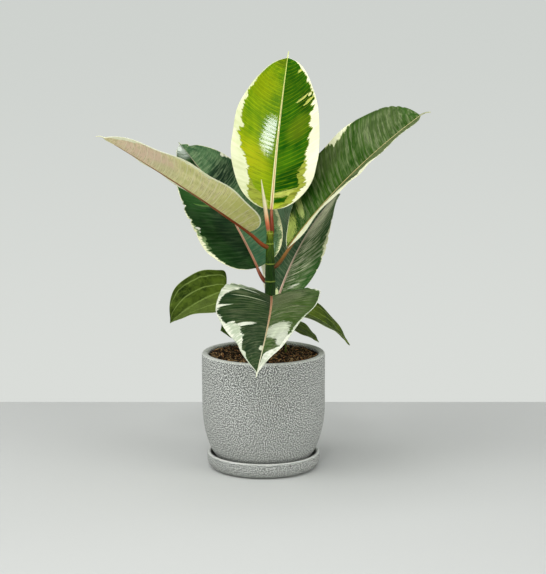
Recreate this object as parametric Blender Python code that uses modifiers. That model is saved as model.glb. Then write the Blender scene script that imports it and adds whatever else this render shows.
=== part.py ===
"""A young variegated rubber plant in a round ceramic pot on its saucer.

Units are metres and +Z is up. The origin is the centre of the saucer's underside. The plant is seen from the
front along +Y, with +X to the right.
"""

import math
from math import cos, pi, radians, sin

import bmesh
import bpy
from mathutils import Vector

# Clearance between pieces that rest on or in each other
GAP = 0.0003

# Saucer
SAUCER_RADIUS = 0.0690
SAUCER_HEIGHT = 0.0197
SAUCER_FLOOR = 0.0050
SAUCER_WALL = 0.0045
SAUCER_CORNER = 0.0120
SAUCER_LIP = 0.0020

# Pot
POT_RADIUS = 0.0750
POT_RIM_Z = 0.1432
POT_WALL = 0.0079
POT_FLOOR = 0.0080
POT_LIP = 0.0030
POT_SHOULDER_Z = 0.0800
POT_FOOT_RADIUS = 0.0416
POT_FOOT_WIDTH = 0.0070
POT_FOOT_RECESS = 0.0015
DRAIN_RADIUS = 0.0060
POT_Z = SAUCER_FLOOR + GAP
POT_INSIDE_RADIUS = POT_RADIUS - POT_WALL
POT_FLOOR_Z = POT_Z + POT_FLOOR
POT_INSIDE_FLOOR = 0.0370

# Potting soil
SOIL_DROP = 0.0045
SOIL_DOME = 0.0040
SOIL_BUMP = 0.0011
SOIL_RINGS = 8
SOIL_Z = POT_RIM_Z - SOIL_DROP

# Main stem, and the heights of the pale rings where the leaf stalks grow
STEM_X = 0.0080
STEM_DEPTH = 0.0500
STEM_TOP_Z = 0.2910
STEM_RADIUS_SOIL = 0.0069
STEM_RADIUS_TOP = 0.0037
STEM_TAPER = 3
STEM_RING = 0.0004
STEM_RING_HEIGHT = 0.0022

# Bud sheath at the top of the stem
SHEATH_LENGTH = 0.0630
SHEATH_BASE_RADIUS = 0.0022
SHEATH_RADIUS = 0.0028
SHEATH_TIP_RADIUS = 0.0003
SHEATH_TILT = 8.0
SHEATH_OFFSET = 0.0016

# Leaf blades and stalks
BLADE_THICKNESS = 0.0008
BLADE_BASE_HALF = 0.0015
DRIP_TIP_HALF = 0.0011
DRIP_TIP_END_HALF = 0.0004
STALK_START_RADIUS = 0.0029
STALK_HEEL = 0.0008
STALK_RADIUS = 0.0018
RIB_END_RADIUS = 0.0005
RIB_END = 0.93
BLADE_ROWS = 13
BLADE_COLUMNS = 4
STALK_POINTS = 6
RIB_POINTS = 6

# Small heart leaves
HEART_NOTCH = 0.25
HEART_LOBE = 0.12
HEART_ROUND = 0.85
HEART_ROWS = 10
HEART_COLUMNS = 3
HEART_STALK_RADIUS = 0.0011
HEART_RIB_SUNK = 0.0009
HEART_RIB_END = 0.62
HEART_HOLE_DEPTH = 0.0300

# Numbers of sides of turned pieces
POT_SIDES = 48
SAUCER_SIDES = 48
SOIL_SIDES = 36
STEM_SIDES = 12

# The rubber plant's leaves. Each blade starts at base, heads along the compass direction heading (0 is
# +X, 90 is +Y) and climbs at rise; turn, droop and twist are how much heading, rise and roll change from
# base to tip. Each half is lifted from flat by its fold, less curl towards its edge. All of these are in
# degrees. fullness under 1 moves the widest place towards the base, and taper over 0.5 makes both ends
# more pointed. swell widens a half near a share of the length, over a spread and by a share of its width,
# and lift adds to its fold in the same way. opening is how much a half's fold changes from base to tip,
# most of it near the base. ring is the height of the pale ring on the stem. The stalk leaves the stem at
# the height foot, in the compass direction side, and climbs by lean from level there.
LEAVES = {
    "top": dict(
        base=(0.0098, 0.0140, 0.3156), length=0.189, left=0.057, right=0.058, heading=76, turn=-14,
        rise=73, droop=0, roll=6, twist=-9, fold_left=11, fold_right=11, curl=0, fullness=0.92, taper=0.50,
        wave=0.0012, tip=0.008, ring=0.2880, foot=0.2860, side=60, lean=45,
        swell_left=[(0.92, 0.06, -0.07), (0.68, 0.15, 0.035)], swell_right=[(0.20, 0.13, 0.055)],
    ),
    "left": dict(
        base=(-0.0165, -0.0120, 0.2922), length=0.227, left=0.055, right=0.052, heading=214, turn=-3,
        rise=34, droop=-4, roll=7, twist=1, fold_left=12, fold_right=21, curl=0, fullness=0.80, taper=0.50,
        wave=0.0012, tip=0.010, tip_droop=40, ring=0.2755, foot=0.2722, side=205, opening_right=-6,
        swell_right=[(0.80, 0.22, -0.45)],
    ),
    "rear_left": dict(
        base=(-0.0072, 0.0100, 0.2452), length=0.195, left=0.055, right=0.057, heading=131, turn=12,
        rise=53, droop=-12, roll=-25, twist=4, fold_left=10, fold_right=12, curl=9, fullness=0.76, taper=0.55,
        wave=0.0012, tip=0.004, ring=0.2297, foot=0.2290, side=150,
        swell_left=[(0.20, 0.15, 0.045), (0.93, 0.05, -0.20)],
    ),
    "right": dict(
        base=(0.0291, 0.0000, 0.2706), length=0.226, left=0.056, right=0.049, heading=1, turn=4,
        rise=54, droop=-18, roll=13, twist=12, fold_left=26, fold_right=8, curl=0, fullness=1.25, taper=0.50,
        wave=0.0014, tip=0.013, tip_droop=36, ring=0.2510, foot=0.2478, side=0, opening_right=17,
        swell_left=[(0.05, 0.07, -0.22), (0.36, 0.16, 0.15), (0.80, 0.20, 0.06)],
        lift_right=[(0.55, 0.06, -5)],
    ),
    "rear_right": dict(
        base=(0.0171, 0.0140, 0.2051), length=0.177, left=0.047, right=0.049, heading=61, turn=-12,
        rise=53, droop=-22, roll=8, twist=-29, fold_left=24, fold_right=12, curl=0, fullness=0.89, taper=0.50,
        wave=0.0012, tip=0.004, ring=0.1880, foot=0.1880, side=55,
        swell_left=[(0.12, 0.12, -0.25), (0.70, 0.22, 0.65)],
        swell_right=[(0.26, 0.12, 0.07), (0.75, 0.15, -0.18)],
    ),
    "front": dict(
        base=(0.0094, -0.0220, 0.2156), length=0.185, left=0.063, right=0.063, heading=-88, turn=-15,
        rise=1, droop=-39, roll=-1, twist=17, fold_left=22, fold_right=24, curl=13, fullness=0.66, taper=0.98,
        wave=0.0015, tip=0.005, ring=0.2040, foot=0.2040, side=-90, swell_left=[(0.88, 0.07, 0.22)],
        swell_right=[(0.52, 0.14, 0.06), (0.77, 0.07, -0.10)], lift_right=[(0.14, 0.14, 9)],
    ),
}

# The small heart leaves, in the same terms. length runs from the joint to the tip, point is how soon a half
# narrows towards the tip, and root is where the stalk enters the soil.
HEARTS = {
    "heart_left": dict(
        base=(-0.0452, 0.0040, 0.2185), length=0.083, half=0.040, heading=208, turn=-4, rise=-10,
        droop=-30, roll=-31, twist=24, fold_left=0, fold_right=15, point_left=1.40, point_right=0.55,
        swell_left=[(0.76, 0.20, -0.40)],
        swell_right=[(0.33, 0.15, -0.12), (0.67, 0.13, 0.05), (0.92, 0.08, -0.32)],
        root=(-0.0140, 0.0180),
    ),
    "heart_right": dict(
        base=(0.0349, 0.0054, 0.1969), length=0.088, half=0.034, heading=-2, turn=16, rise=-16,
        droop=-36, roll=11, twist=-5, fold_left=12, fold_right=8, point_left=0.90, point_right=0.90,
        root=(0.0270, 0.0000),
    ),
    "heart_right_low": dict(
        base=(0.0230, 0.0340, 0.1754), length=0.054, half=0.024, heading=-18, turn=7, rise=-12,
        droop=-32, roll=9, twist=-6, fold_left=-4, fold_right=6, point_left=0.90, point_right=0.90,
        root=(0.0180, 0.0300),
    ),
    "heart_left_low": dict(
        base=(-0.0115, -0.0120, 0.1790), length=0.042, half=0.028, heading=195, turn=0, rise=-2,
        droop=-10, roll=-38, twist=0, fold_left=8, fold_right=8, point_left=0.50, point_right=0.90,
        root=(-0.0110, -0.0060),
    ),
}


def clear_scene():
    for thing in list(bpy.data.objects):
        bpy.data.objects.remove(thing, do_unlink=True)


def new_collection(name):
    collection = bpy.data.collections.new(name)
    bpy.context.scene.collection.children.link(collection)
    return collection


def material(name, colour, roughness):
    made = bpy.data.materials.new(name)
    made.use_nodes = True
    shader = made.node_tree.nodes["Principled BSDF"]
    shader.inputs["Base Color"].default_value = (*colour, 1.0)
    shader.inputs["Roughness"].default_value = roughness
    shader.inputs["Metallic"].default_value = 0.0
    made.diffuse_color = (*colour, 1.0)
    return made


def add_object(name, data, collection, finish=None):
    made = bpy.data.objects.new(name, data)
    collection.objects.link(made)
    if finish:
        data.materials.append(finish)
    return made


def make_cutter(thing):
    thing.hide_render = True
    thing.display_type = "WIRE"


def arc(centre, radii, start, end, steps):
    """Points of an ellipse's arc in the XZ plane. The angles are in degrees, from +X towards +Z."""
    angles = [radians(start + (end - start) * i / steps) for i in range(steps + 1)]
    return [(centre[0] + radii[0] * cos(a), centre[1] + radii[1] * sin(a)) for a in angles]


def turned(name, profile, sides, collection, finish, closed=False):
    """An object turned round Z from a profile of (radius, height) points that runs down its outer side."""
    mesh = bpy.data.meshes.new(name)
    edges = [(i, i + 1) for i in range(len(profile) - 1)]
    if closed:
        edges.append((len(profile) - 1, 0))
    mesh.from_pydata([(r, 0, z) for r, z in profile], edges, [])
    made = add_object(name, mesh, collection, finish)
    screw = made.modifiers.new("turn", "SCREW")
    screw.steps = screw.render_steps = sides
    screw.use_merge_vertices = True
    screw.merge_threshold = 0.00001
    screw.use_smooth_shade = True
    return made


def evaluated_mesh(thing):
    """The mesh of an object with its modifiers applied, its loose caps welded."""
    bpy.context.view_layer.update()
    graph = bpy.context.evaluated_depsgraph_get()
    mesh = bpy.data.meshes.new_from_object(thing.evaluated_get(graph))
    bm = bmesh.new()
    bm.from_mesh(mesh)
    bmesh.ops.remove_doubles(bm, verts=bm.verts, dist=0.000001)
    bm.to_mesh(mesh)
    bm.free()
    return mesh


def build_saucer(collection, finish):
    inside = SAUCER_RADIUS - SAUCER_WALL
    rim = SAUCER_HEIGHT - SAUCER_LIP
    foot = SAUCER_RADIUS - SAUCER_CORNER
    inner_corner = SAUCER_CORNER - SAUCER_WALL
    profile = [(0, SAUCER_FLOOR), (POT_FOOT_RADIUS, SAUCER_FLOOR)]
    corner = (inner_corner, inner_corner)
    profile += arc((inside - inner_corner, SAUCER_FLOOR + inner_corner), corner, -90, 0, 4)
    profile += arc((inside + SAUCER_LIP, rim), (SAUCER_LIP, SAUCER_LIP), 180, 90, 2)
    profile += arc((SAUCER_RADIUS - SAUCER_LIP, rim), (SAUCER_LIP, SAUCER_LIP), 90, 0, 2)
    profile += arc((foot, SAUCER_CORNER), (SAUCER_CORNER, SAUCER_CORNER), 0, -90, 5)
    profile += [(0, 0)]
    return turned("saucer", profile, SAUCER_SIDES, collection, finish)


def inside_wall(clearance):
    """The pot's inside from the top of its straight wall to its floor, shrunk by clearance."""
    straight = [(POT_INSIDE_RADIUS - clearance, POT_RIM_Z - POT_LIP)]
    radii = (POT_INSIDE_RADIUS - POT_INSIDE_FLOOR - clearance, POT_SHOULDER_Z - POT_FLOOR_Z - clearance)
    return straight + arc((POT_INSIDE_FLOOR, POT_SHOULDER_Z), radii, 0, -90, 5)


def build_pot(collection, finish):
    lip = (POT_LIP, POT_LIP)
    profile = arc((POT_RADIUS - POT_LIP, POT_RIM_Z - POT_LIP), lip, 90, 0, 2)
    belly = (POT_RADIUS - POT_FOOT_RADIUS, POT_SHOULDER_Z - POT_Z)
    profile += arc((POT_FOOT_RADIUS, POT_SHOULDER_Z), belly, 0, -90, 8)
    foot_inside = POT_FOOT_RADIUS - POT_FOOT_WIDTH
    profile += [(foot_inside, POT_Z), (foot_inside - POT_FOOT_RECESS, POT_Z + POT_FOOT_RECESS)]
    profile += [(DRAIN_RADIUS, POT_Z + POT_FOOT_RECESS), (DRAIN_RADIUS, POT_FLOOR_Z)]
    profile += inside_wall(0)[::-1]
    profile += arc((POT_INSIDE_RADIUS + POT_LIP, POT_RIM_Z - POT_LIP), lip, 180, 90, 2)[1:]
    return turned("pot", profile, POT_SIDES, collection, finish, closed=True)


def soil_height(x, y):
    """How far the soil's surface lies over its edge: a low dome with crumbs and hollows in it."""
    reach = math.hypot(x, y) / POT_INSIDE_RADIUS
    crumbs = sin(430 * x + 1.3 * sin(310 * y)) + sin(370 * y + 0.9) * cos(290 * x - 0.4) + sin(650 * (x + y))
    return SOIL_DOME * (1 - reach**2) + SOIL_BUMP * crumbs * (1 - reach**6)


def build_soil(collection, finish, cutters):
    radius = POT_INSIDE_RADIUS - GAP
    top = [(radius * i / SOIL_RINGS, SOIL_Z) for i in range(SOIL_RINGS + 1)]
    profile = top + inside_wall(GAP)[1:] + [(0, POT_FLOOR_Z + GAP)]
    made = turned("soil", profile, SOIL_SIDES, collection, None)
    mesh = evaluated_mesh(made)
    made.modifiers.clear()
    made.data = mesh
    mesh.materials.append(finish)
    for vertex in mesh.vertices:
        if vertex.co.z > SOIL_Z - GAP:
            vertex.co.z += soil_height(vertex.co.x, vertex.co.y)
    for cutter in cutters:
        hole = made.modifiers.new(cutter.name, "BOOLEAN")
        hole.object = cutter
    return made


def hole_cutter(name, place, radius, depth, collection):
    """A cylinder that cuts a plain hole for a stem in the soil."""
    height = depth + SOIL_DOME + 5 * SOIL_BUMP
    bm = bmesh.new()
    bmesh.ops.create_cone(
        bm, cap_ends=True, segments=STEM_SIDES, radius1=radius, radius2=radius, depth=height
    )
    mesh = bpy.data.meshes.new(name)
    bm.to_mesh(mesh)
    bm.free()
    made = add_object(name, mesh, collection)
    made.location = (place[0], place[1], SOIL_Z - depth + height / 2)
    make_cutter(made)
    return made


def stem_radius(z):
    """The stem tapers upwards and is thicker at each ring."""
    climb = max((z - SOIL_Z) / (STEM_TOP_Z - SOIL_Z), 0)
    plain = STEM_RADIUS_SOIL + (STEM_RADIUS_TOP - STEM_RADIUS_SOIL) * climb**STEM_TAPER
    near = min(abs(z - leaf["ring"]) for leaf in LEAVES.values())
    return plain + STEM_RING * max(0, 1 - near / STEM_RING_HEIGHT)


def build_stem(collection, finish):
    rings = sorted((leaf["ring"] for leaf in LEAVES.values()), reverse=True)
    heights = {STEM_TOP_Z, SOIL_Z}
    for ring in rings:
        heights |= {ring, ring - STEM_RING_HEIGHT, min(ring + STEM_RING_HEIGHT, STEM_TOP_Z)}
    heights = sorted(heights, reverse=True)
    bottom = SOIL_Z - STEM_DEPTH + GAP
    profile = [(0, STEM_TOP_Z)] + [(stem_radius(z), z) for z in heights]
    profile += [(STEM_RADIUS_SOIL, bottom), (0, bottom)]
    made = turned("stem", profile, STEM_SIDES, collection, finish)
    made.location.x = STEM_X
    return made


def sheath_radius(t):
    """The sheath swells above its base and narrows to a point. t runs from 0 at the base to 1 at the tip."""
    swell = SHEATH_BASE_RADIUS + (SHEATH_RADIUS - SHEATH_BASE_RADIUS) * sin(pi * min(t / 0.6, 1) / 2)
    return SHEATH_TIP_RADIUS + (swell - SHEATH_TIP_RADIUS) * (1 - t**2.2)


def build_sheath(collection, finish):
    steps = 9
    heights = [SHEATH_LENGTH * (1 - i / steps) for i in range(steps + 1)]
    profile = [(0, SHEATH_LENGTH)] + [(sheath_radius(h / SHEATH_LENGTH), h) for h in heights] + [(0, 0)]
    made = turned("bud_sheath", profile, STEM_SIDES, collection, finish)
    lift = GAP + SHEATH_BASE_RADIUS * sin(radians(SHEATH_TILT))
    made.location = (STEM_X - SHEATH_OFFSET, 0, STEM_TOP_Z + lift)
    made.rotation_euler.y = -radians(SHEATH_TILT)
    return made


def midrib(leaf, s, steps=48):
    """Point, forward, left and up on the midrib. s runs from 0 at the base to 1 at the blade's end."""
    point = Vector(leaf["base"])
    count = max(1, math.ceil(abs(s) * steps))
    for i in range(count):
        forward = rib_directions(leaf, s * (i + 0.5) / count)[0]
        point += forward * leaf["length"] * s / count
    return point, *rib_directions(leaf, s)


def rib_directions(leaf, s):
    heading = radians(leaf["heading"] + leaf["turn"] * s)
    past = max(0, s - 1) * leaf["length"] / leaf.get("tip", 1)
    rise = radians(leaf["rise"] + leaf["droop"] * s - leaf.get("tip_droop", 0) * past)
    roll = radians(leaf["roll"] + leaf["twist"] * s)
    forward = Vector((cos(heading) * cos(rise), sin(heading) * cos(rise), sin(rise)))
    level = Vector((-sin(heading), cos(heading), 0))
    up = forward.cross(level)
    return forward, level * cos(roll) + up * sin(roll), up * cos(roll) - level * sin(roll)


def bumps(leaf, kind, s):
    """The sum of a leaf's local changes of one kind, each a smooth bump near a share of the length."""
    places = leaf.get(kind, [])
    return sum(amount * math.exp(-(((s - centre) / spread) ** 2)) for centre, spread, amount in places)


def half_width(leaf, s, side):
    """The blade's width from rib to edge at share s of its length: an egg-shaped oval with a drip tip."""
    x = min(max(s, 0), 1) ** leaf["fullness"]
    oval = (4 * x * (1 - x)) ** leaf["taper"] * leaf[side] * (1 + bumps(leaf, "swell_" + side, s))
    past = (s - 1) * leaf["length"] / leaf["tip"]
    point = DRIP_TIP_HALF + (DRIP_TIP_END_HALF - DRIP_TIP_HALF) * max(past, 0)
    return max(oval, BLADE_BASE_HALF if s < 0.5 else point)


def folded(leaf, side, s, t):
    """How far across and up a point lies at share t of a half, for a half of width 1."""
    opened = leaf.get("opening_" + side, 0) * (1 - (1 - s) ** 3) + bumps(leaf, "lift_" + side, s)
    angle = radians(leaf["fold_" + side] + opened - leaf["curl"] * t / 2)
    return cos(angle) * t, sin(angle) * t


def blade_point(leaf, s, t):
    """A point of the upper face. t runs from -1 at the right edge over 0 at the rib to 1 at the left edge."""
    side = "left" if t >= 0 else "right"
    point, forward, left, up = midrib(leaf, s)
    width = half_width(leaf, s, side)
    across, lift = folded(leaf, side, s, abs(t))
    ripple = leaf["wave"] * t * t * sin(7 * pi * s + (0 if t > 0 else 2)) * min(1, 4 * width / leaf["left"])
    return point + left * math.copysign(across * width, t) + up * (lift * width + ripple)


def blade_rows(leaf):
    """Shares of the length, closer together at both ends, and two more for the drip tip."""
    even = [(1 - cos(pi * i / BLADE_ROWS)) / 2 for i in range(BLADE_ROWS + 1)]
    tip = leaf["tip"] / leaf["length"]
    return even + [1 + tip / 2, 1 + tip]


def bent_grid(name, rows, columns, place):
    """A grid of triangles whose corners are placed by row number and by a share across from -1 to 1."""
    bm = bmesh.new()
    bmesh.ops.create_grid(bm, x_segments=len(rows) - 1, y_segments=2 * columns, size=1)
    bmesh.ops.triangulate(bm, faces=bm.faces)
    last = len(rows) - 1
    for vertex in bm.verts:
        row = round((vertex.co.x + 1) / 2 * last)
        vertex.co = place(rows[row], round(vertex.co.y * columns) / columns)
    mesh = bpy.data.meshes.new(name)
    bm.to_mesh(mesh)
    bm.free()
    mesh.shade_smooth()
    return mesh


def thicken(thing):
    solid = thing.modifiers.new("thickness", "SOLIDIFY")
    solid.thickness = BLADE_THICKNESS
    solid.offset = -1


def build_blade(name, leaf, collection, finish):
    mesh = bent_grid(name, blade_rows(leaf), BLADE_COLUMNS, lambda s, t: blade_point(leaf, s, t))
    made = add_object(name, mesh, collection, finish)
    thicken(made)
    return made


def bezier(points, t):
    a, b, c, d = points
    return a * (1 - t) ** 3 + b * 3 * t * (1 - t) ** 2 + c * 3 * t * t * (1 - t) + d * t**3


def tube(name, points, radii, collection, finish):
    """A round rod through the points, with its own radius at each."""
    curve = bpy.data.curves.new(name, "CURVE")
    curve.dimensions = "3D"
    curve.bevel_depth = 1.0
    curve.bevel_resolution = 2
    curve.use_fill_caps = True
    spline = curve.splines.new("POLY")
    spline.points.add(len(points) - 1)
    for place, point, radius in zip(spline.points, points, radii):
        place.co = (*point, 1)
        place.radius = radius
    spline.use_smooth = True
    return add_object(name, curve, collection, finish)


def under_rib(leaf, s, radius, sunk):
    """A point under the midrib, where a rod of this radius reaches sunk into the blade."""
    point, forward, left, up = midrib(leaf, s)
    return point - up * (radius + BLADE_THICKNESS - sunk)


def build_stalk(name, leaf, collection, finish):
    """The stalk from the stem to the blade, which runs on under the blade as its midrib."""
    side = radians(leaf["side"])
    lean = radians(leaf.get("lean", 0))
    out = Vector((cos(side), sin(side), 0))
    clear = stem_radius(leaf["foot"]) + GAP + STALK_START_RADIUS * sin(lean)
    start = Vector((STEM_X, 0, leaf["foot"])) + out * clear
    out = out * cos(lean) + Vector((0, 0, sin(lean)))
    heel = start + out * STALK_HEEL
    joint = under_rib(leaf, 0, STALK_RADIUS, -GAP)
    reach = (joint - heel).length
    forward = rib_directions(leaf, 0)[0]
    bend = [heel, heel + out * reach * 0.12, joint - forward * reach * 0.35, joint]
    points = [start]
    radii = [STALK_START_RADIUS]
    for i in range(STALK_POINTS + 1):
        points.append(bezier(bend, i / STALK_POINTS))
        radii.append(STALK_START_RADIUS + (STALK_RADIUS - STALK_START_RADIUS) * i / STALK_POINTS)
    for i in range(1, RIB_POINTS + 1):
        share = i / RIB_POINTS
        radius = STALK_RADIUS + (RIB_END_RADIUS - STALK_RADIUS) * share**0.7
        points.append(under_rib(leaf, RIB_END * share, radius, -GAP))
        radii.append(radius)
    return tube(name, points, radii, collection, finish)


def heart_point(leaf, turn, t):
    """A point of a heart leaf. turn runs from 0 at the joint to 1 at the tip, t from -1 to 1 across."""
    angle = pi * turn
    rib_share = (1 - cos(angle)) / 2
    edge_share = rib_share - sin(angle) * (HEART_NOTCH + HEART_LOBE * cos(angle))
    share = rib_share + (edge_share - rib_share) * abs(t)
    point, forward, left, up = midrib(leaf, share)
    side = "left" if t >= 0 else "right"
    width = leaf["half"] * sin(angle) ** (HEART_ROUND + leaf["point_" + side] * turn**3)
    width *= 1 + bumps(leaf, "swell_" + side, turn)
    fold = radians(leaf["fold_" + side])
    return point + (left * math.copysign(cos(fold), t) + up * sin(fold)) * width * abs(t)


def build_heart(name, leaf, collection, cutters, finish):
    """A heart leaf and its stalk, which grew as one piece."""
    rows = [0.04 + 0.96 * i / HEART_ROWS for i in range(HEART_ROWS)] + [0.995]
    mesh = bent_grid(name, rows, HEART_COLUMNS, lambda turn, t: heart_point(leaf, turn, t))
    made = add_object(name, mesh, collection, finish)
    thicken(made)
    stalk = build_heart_stalk(name + "_stalk", leaf, cutters)
    join = made.modifiers.new("stalk", "BOOLEAN")
    join.operation = "UNION"
    join.object = stalk
    return made


def build_heart_stalk(name, leaf, collection):
    x, y = leaf["root"]
    root = Vector((x, y, SOIL_Z - HEART_HOLE_DEPTH + GAP))
    joint = under_rib(leaf, 0, HEART_STALK_RADIUS, HEART_RIB_SUNK)
    forward = rib_directions(leaf, 0)[0]
    above = Vector((x, y, SOIL_Z + SOIL_DOME + SOIL_BUMP))
    reach = (joint - above).length
    bend = [above, above + Vector((0, 0, reach * 0.6)), joint - forward * reach * 0.3, joint]
    points = [root] + [bezier(bend, i / STALK_POINTS) for i in range(STALK_POINTS + 1)]
    radii = [HEART_STALK_RADIUS] * len(points)
    for i in range(1, 5):
        share = HEART_RIB_END * i / 4
        radius = HEART_STALK_RADIUS * (1 - 0.45 * i / 4)
        points.append(under_rib(leaf, share, radius, HEART_RIB_SUNK))
        radii.append(radius)
    rod = tube(name, points, radii, collection, None)
    made = add_object(name + "_body", evaluated_mesh(rod), collection)
    made.matrix_world = rod.matrix_world
    bpy.data.objects.remove(rod, do_unlink=True)
    make_cutter(made)
    return made


def build():
    clear_scene()
    plant = new_collection("rubber_plant")
    helpers = new_collection("cutters")
    ceramic = material("speckled_ceramic", (0.27, 0.29, 0.28), 0.55)
    saucer_ceramic = material("speckled_ceramic_saucer", (0.31, 0.33, 0.32), 0.55)
    soil = material("potting_soil", (0.035, 0.020, 0.012), 0.95)
    stem = material("green_stem", (0.030, 0.110, 0.015), 0.45)
    bud = material("red_bud_sheath", (0.55, 0.16, 0.10), 0.40)
    stalk = material("red_brown_stalk", (0.30, 0.075, 0.030), 0.45)
    young = material("young_leaf", (0.13, 0.33, 0.015), 0.30)
    old = material("variegated_leaf", (0.050, 0.130, 0.045), 0.30)
    heart = material("plain_green_leaf", (0.070, 0.160, 0.020), 0.45)

    build_saucer(plant, saucer_ceramic)
    build_pot(plant, ceramic)
    holes = [hole_cutter("stem_hole", (STEM_X, 0), STEM_RADIUS_SOIL + 2 * GAP, STEM_DEPTH, helpers)]
    for name, leaf in HEARTS.items():
        radius = HEART_STALK_RADIUS + 2 * GAP
        holes.append(hole_cutter(name + "_hole", leaf["root"], radius, HEART_HOLE_DEPTH, helpers))
    build_soil(plant, soil, holes)
    build_stem(plant, stem)
    build_sheath(plant, bud)
    for name, leaf in LEAVES.items():
        build_blade("blade_" + name, leaf, plant, young if name == "top" else old)
        build_stalk("stalk_" + name, leaf, plant, stalk)
    for name, leaf in HEARTS.items():
        build_heart(name, leaf, plant, helpers, heart)


build()
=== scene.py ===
# %% [markdown]
# A potted rubber plant
#
# This file dresses a young variegated rubber plant in its ceramic pot. The solids of the part are loaded
# first and never move. Every piece made below takes the place of one of them, in the same metres and with
# the same axes: +Z is up, and the plant is looked at along +Y.

# %% Load the frame
import math
import random
from math import cos, pi, radians, sin

import bpy
import numpy as np
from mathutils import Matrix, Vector, noise


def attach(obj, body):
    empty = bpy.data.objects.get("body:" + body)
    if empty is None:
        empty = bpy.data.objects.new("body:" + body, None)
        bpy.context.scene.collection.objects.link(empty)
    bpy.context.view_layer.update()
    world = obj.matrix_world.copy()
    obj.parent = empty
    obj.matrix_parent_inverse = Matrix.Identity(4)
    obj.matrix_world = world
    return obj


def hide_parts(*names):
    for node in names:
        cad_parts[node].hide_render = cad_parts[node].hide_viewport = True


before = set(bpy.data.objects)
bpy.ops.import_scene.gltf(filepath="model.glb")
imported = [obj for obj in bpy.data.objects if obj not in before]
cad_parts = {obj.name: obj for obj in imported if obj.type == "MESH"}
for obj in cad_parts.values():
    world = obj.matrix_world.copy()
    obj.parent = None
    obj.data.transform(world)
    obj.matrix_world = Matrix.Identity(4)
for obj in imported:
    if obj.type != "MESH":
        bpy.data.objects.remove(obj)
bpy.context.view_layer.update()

print("solids to dress:", len(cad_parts))

# %% [markdown]
# The camera
#
# A long lens from two metres away, a little above the pot and tilted down by nine degrees, gives the calm,
# flat perspective of a shop picture. The numbers come from the pot: the two ellipses of its rim and saucer
# fix the tilt.

# %% Camera
LENS_MM, SENSOR_MM = 105, 36
CAMERA_PLACE = (0.0116, -2.0008, 0.5541)
CAMERA_TILT = 9.4

camera = bpy.data.objects.new("camera", bpy.data.cameras.new("camera"))
bpy.context.scene.collection.objects.link(camera)
camera.data.lens = LENS_MM
camera.data.sensor_width = SENSOR_MM
camera.location = CAMERA_PLACE
camera.rotation_euler = (radians(90 - CAMERA_TILT), 0, 0)
bpy.context.scene.camera = camera
print("camera looks down by", CAMERA_TILT, "degrees")

# %% [markdown]
# Shader maths as Python
#
# A material is a graph of nodes, and most of its nodes are sums. A small class wraps the output of a node,
# so that adding or multiplying two of them in Python adds the Math node that does it. Every other node
# comes from one method.

# %% Sockets and finishes
GENERATED, OBJECT = 0, 3    # outputs of the Texture Coordinate node


class Socket:
    """One output of a node. Arithmetic on it adds Math nodes."""

    def __init__(self, finish, output):
        self.finish = finish
        self.output = output

    def maths(self, operation, *values):
        return self.finish.node("ShaderNodeMath", {"operation": operation}, *values)

    def __add__(self, other):
        return self.maths("ADD", self, other)

    def __sub__(self, other):
        return self.maths("SUBTRACT", self, other)

    def __rsub__(self, other):
        return self.maths("SUBTRACT", other, self)

    def __mul__(self, other):
        return self.maths("MULTIPLY", self, other)

    def __gt__(self, other):
        return self.maths("GREATER_THAN", self, other)

    def __abs__(self):
        return self.maths("ABSOLUTE", self)

    __radd__ = __add__
    __rmul__ = __mul__


class Finish:
    """A material with one Principled shader, built node by node."""

    def __init__(self, name, **constants):
        self.material = bpy.data.materials.new(name)
        self.material.use_nodes = True
        self.tree = self.material.node_tree
        self.shader = self.tree.nodes["Principled BSDF"]
        for socket, value in constants.items():
            self.feed(self.shader.inputs[socket.replace("_", " ")], value)

    def node(self, kind, settings=None, *values, output=0, **named):
        """Adds a node: its settings first, then the values or links of its sockets, by place or by name."""
        made = self.tree.nodes.new(kind)
        for name, value in (settings or {}).items():
            if name == "stops":
                self.set_stops(made.color_ramp, value)
            else:
                setattr(made, name, value)
        for key, value in [*enumerate(values), *named.items()]:
            self.feed(made.inputs[key], value)
        return Socket(self, made.outputs[output])

    def parts(self, vector):
        """The X, Y and Z of a vector."""
        split = self.node("ShaderNodeSeparateXYZ", None, vector)
        return [Socket(self, output) for output in split.output.node.outputs]

    def layer(self, name):
        """The two numbers that a UV map of this name holds."""
        return self.parts(self.node("ShaderNodeUVMap", {"uv_map": name}))[:2]

    def spot(self):
        """Where a point lies in the part, in metres."""
        return self.node("ShaderNodeTexCoord", output=OBJECT)

    def feed(self, socket, value):
        if isinstance(value, Socket):
            self.tree.links.new(value.output, socket)
        elif value is not None:
            socket.default_value = (*value, 1.0) if socket.type == "RGBA" and len(value) == 3 else value

    def set_stops(self, bar, stops):
        while len(bar.elements) < len(stops):
            bar.elements.new(0.5)
        for element, (place, colour) in zip(bar.elements, stops):
            element.position = place
            element.color = (*colour, 1.0)

    def show(self, colour=None, roughness=None, normal=None):
        for socket, value in (("Base Color", colour), ("Roughness", roughness), ("Normal", normal)):
            self.feed(self.shader.inputs[socket], value)
        return self.material


def srgb(red, green, blue):
    """A colour as a screen shows it, 0 to 255, turned into the linear values that shaders use."""
    return tuple(
        (c / 255) / 12.92 if c <= 10 else ((c / 255 + 0.055) / 1.055) ** 2.4 for c in (red, green, blue)
    )


def linear(entry):
    """A table with each triple of screen numbers in it turned into the values that shaders use."""
    if isinstance(entry, dict):
        return {key: linear(value) for key, value in entry.items()}
    if isinstance(entry, tuple) and len(entry) == 3:
        return srgb(*entry)
    if isinstance(entry, (list, tuple)):
        return type(entry)(linear(value) for value in entry)
    return entry


def mix(factor, under, over):
    """The colour under where the factor is 0, and over where it is 1. They are the node's inputs 6 and 7."""
    skipped = [None] * 5
    return factor.finish.node("ShaderNodeMix", {"data_type": "RGBA"}, factor, *skipped, under, over, output=2)


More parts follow.
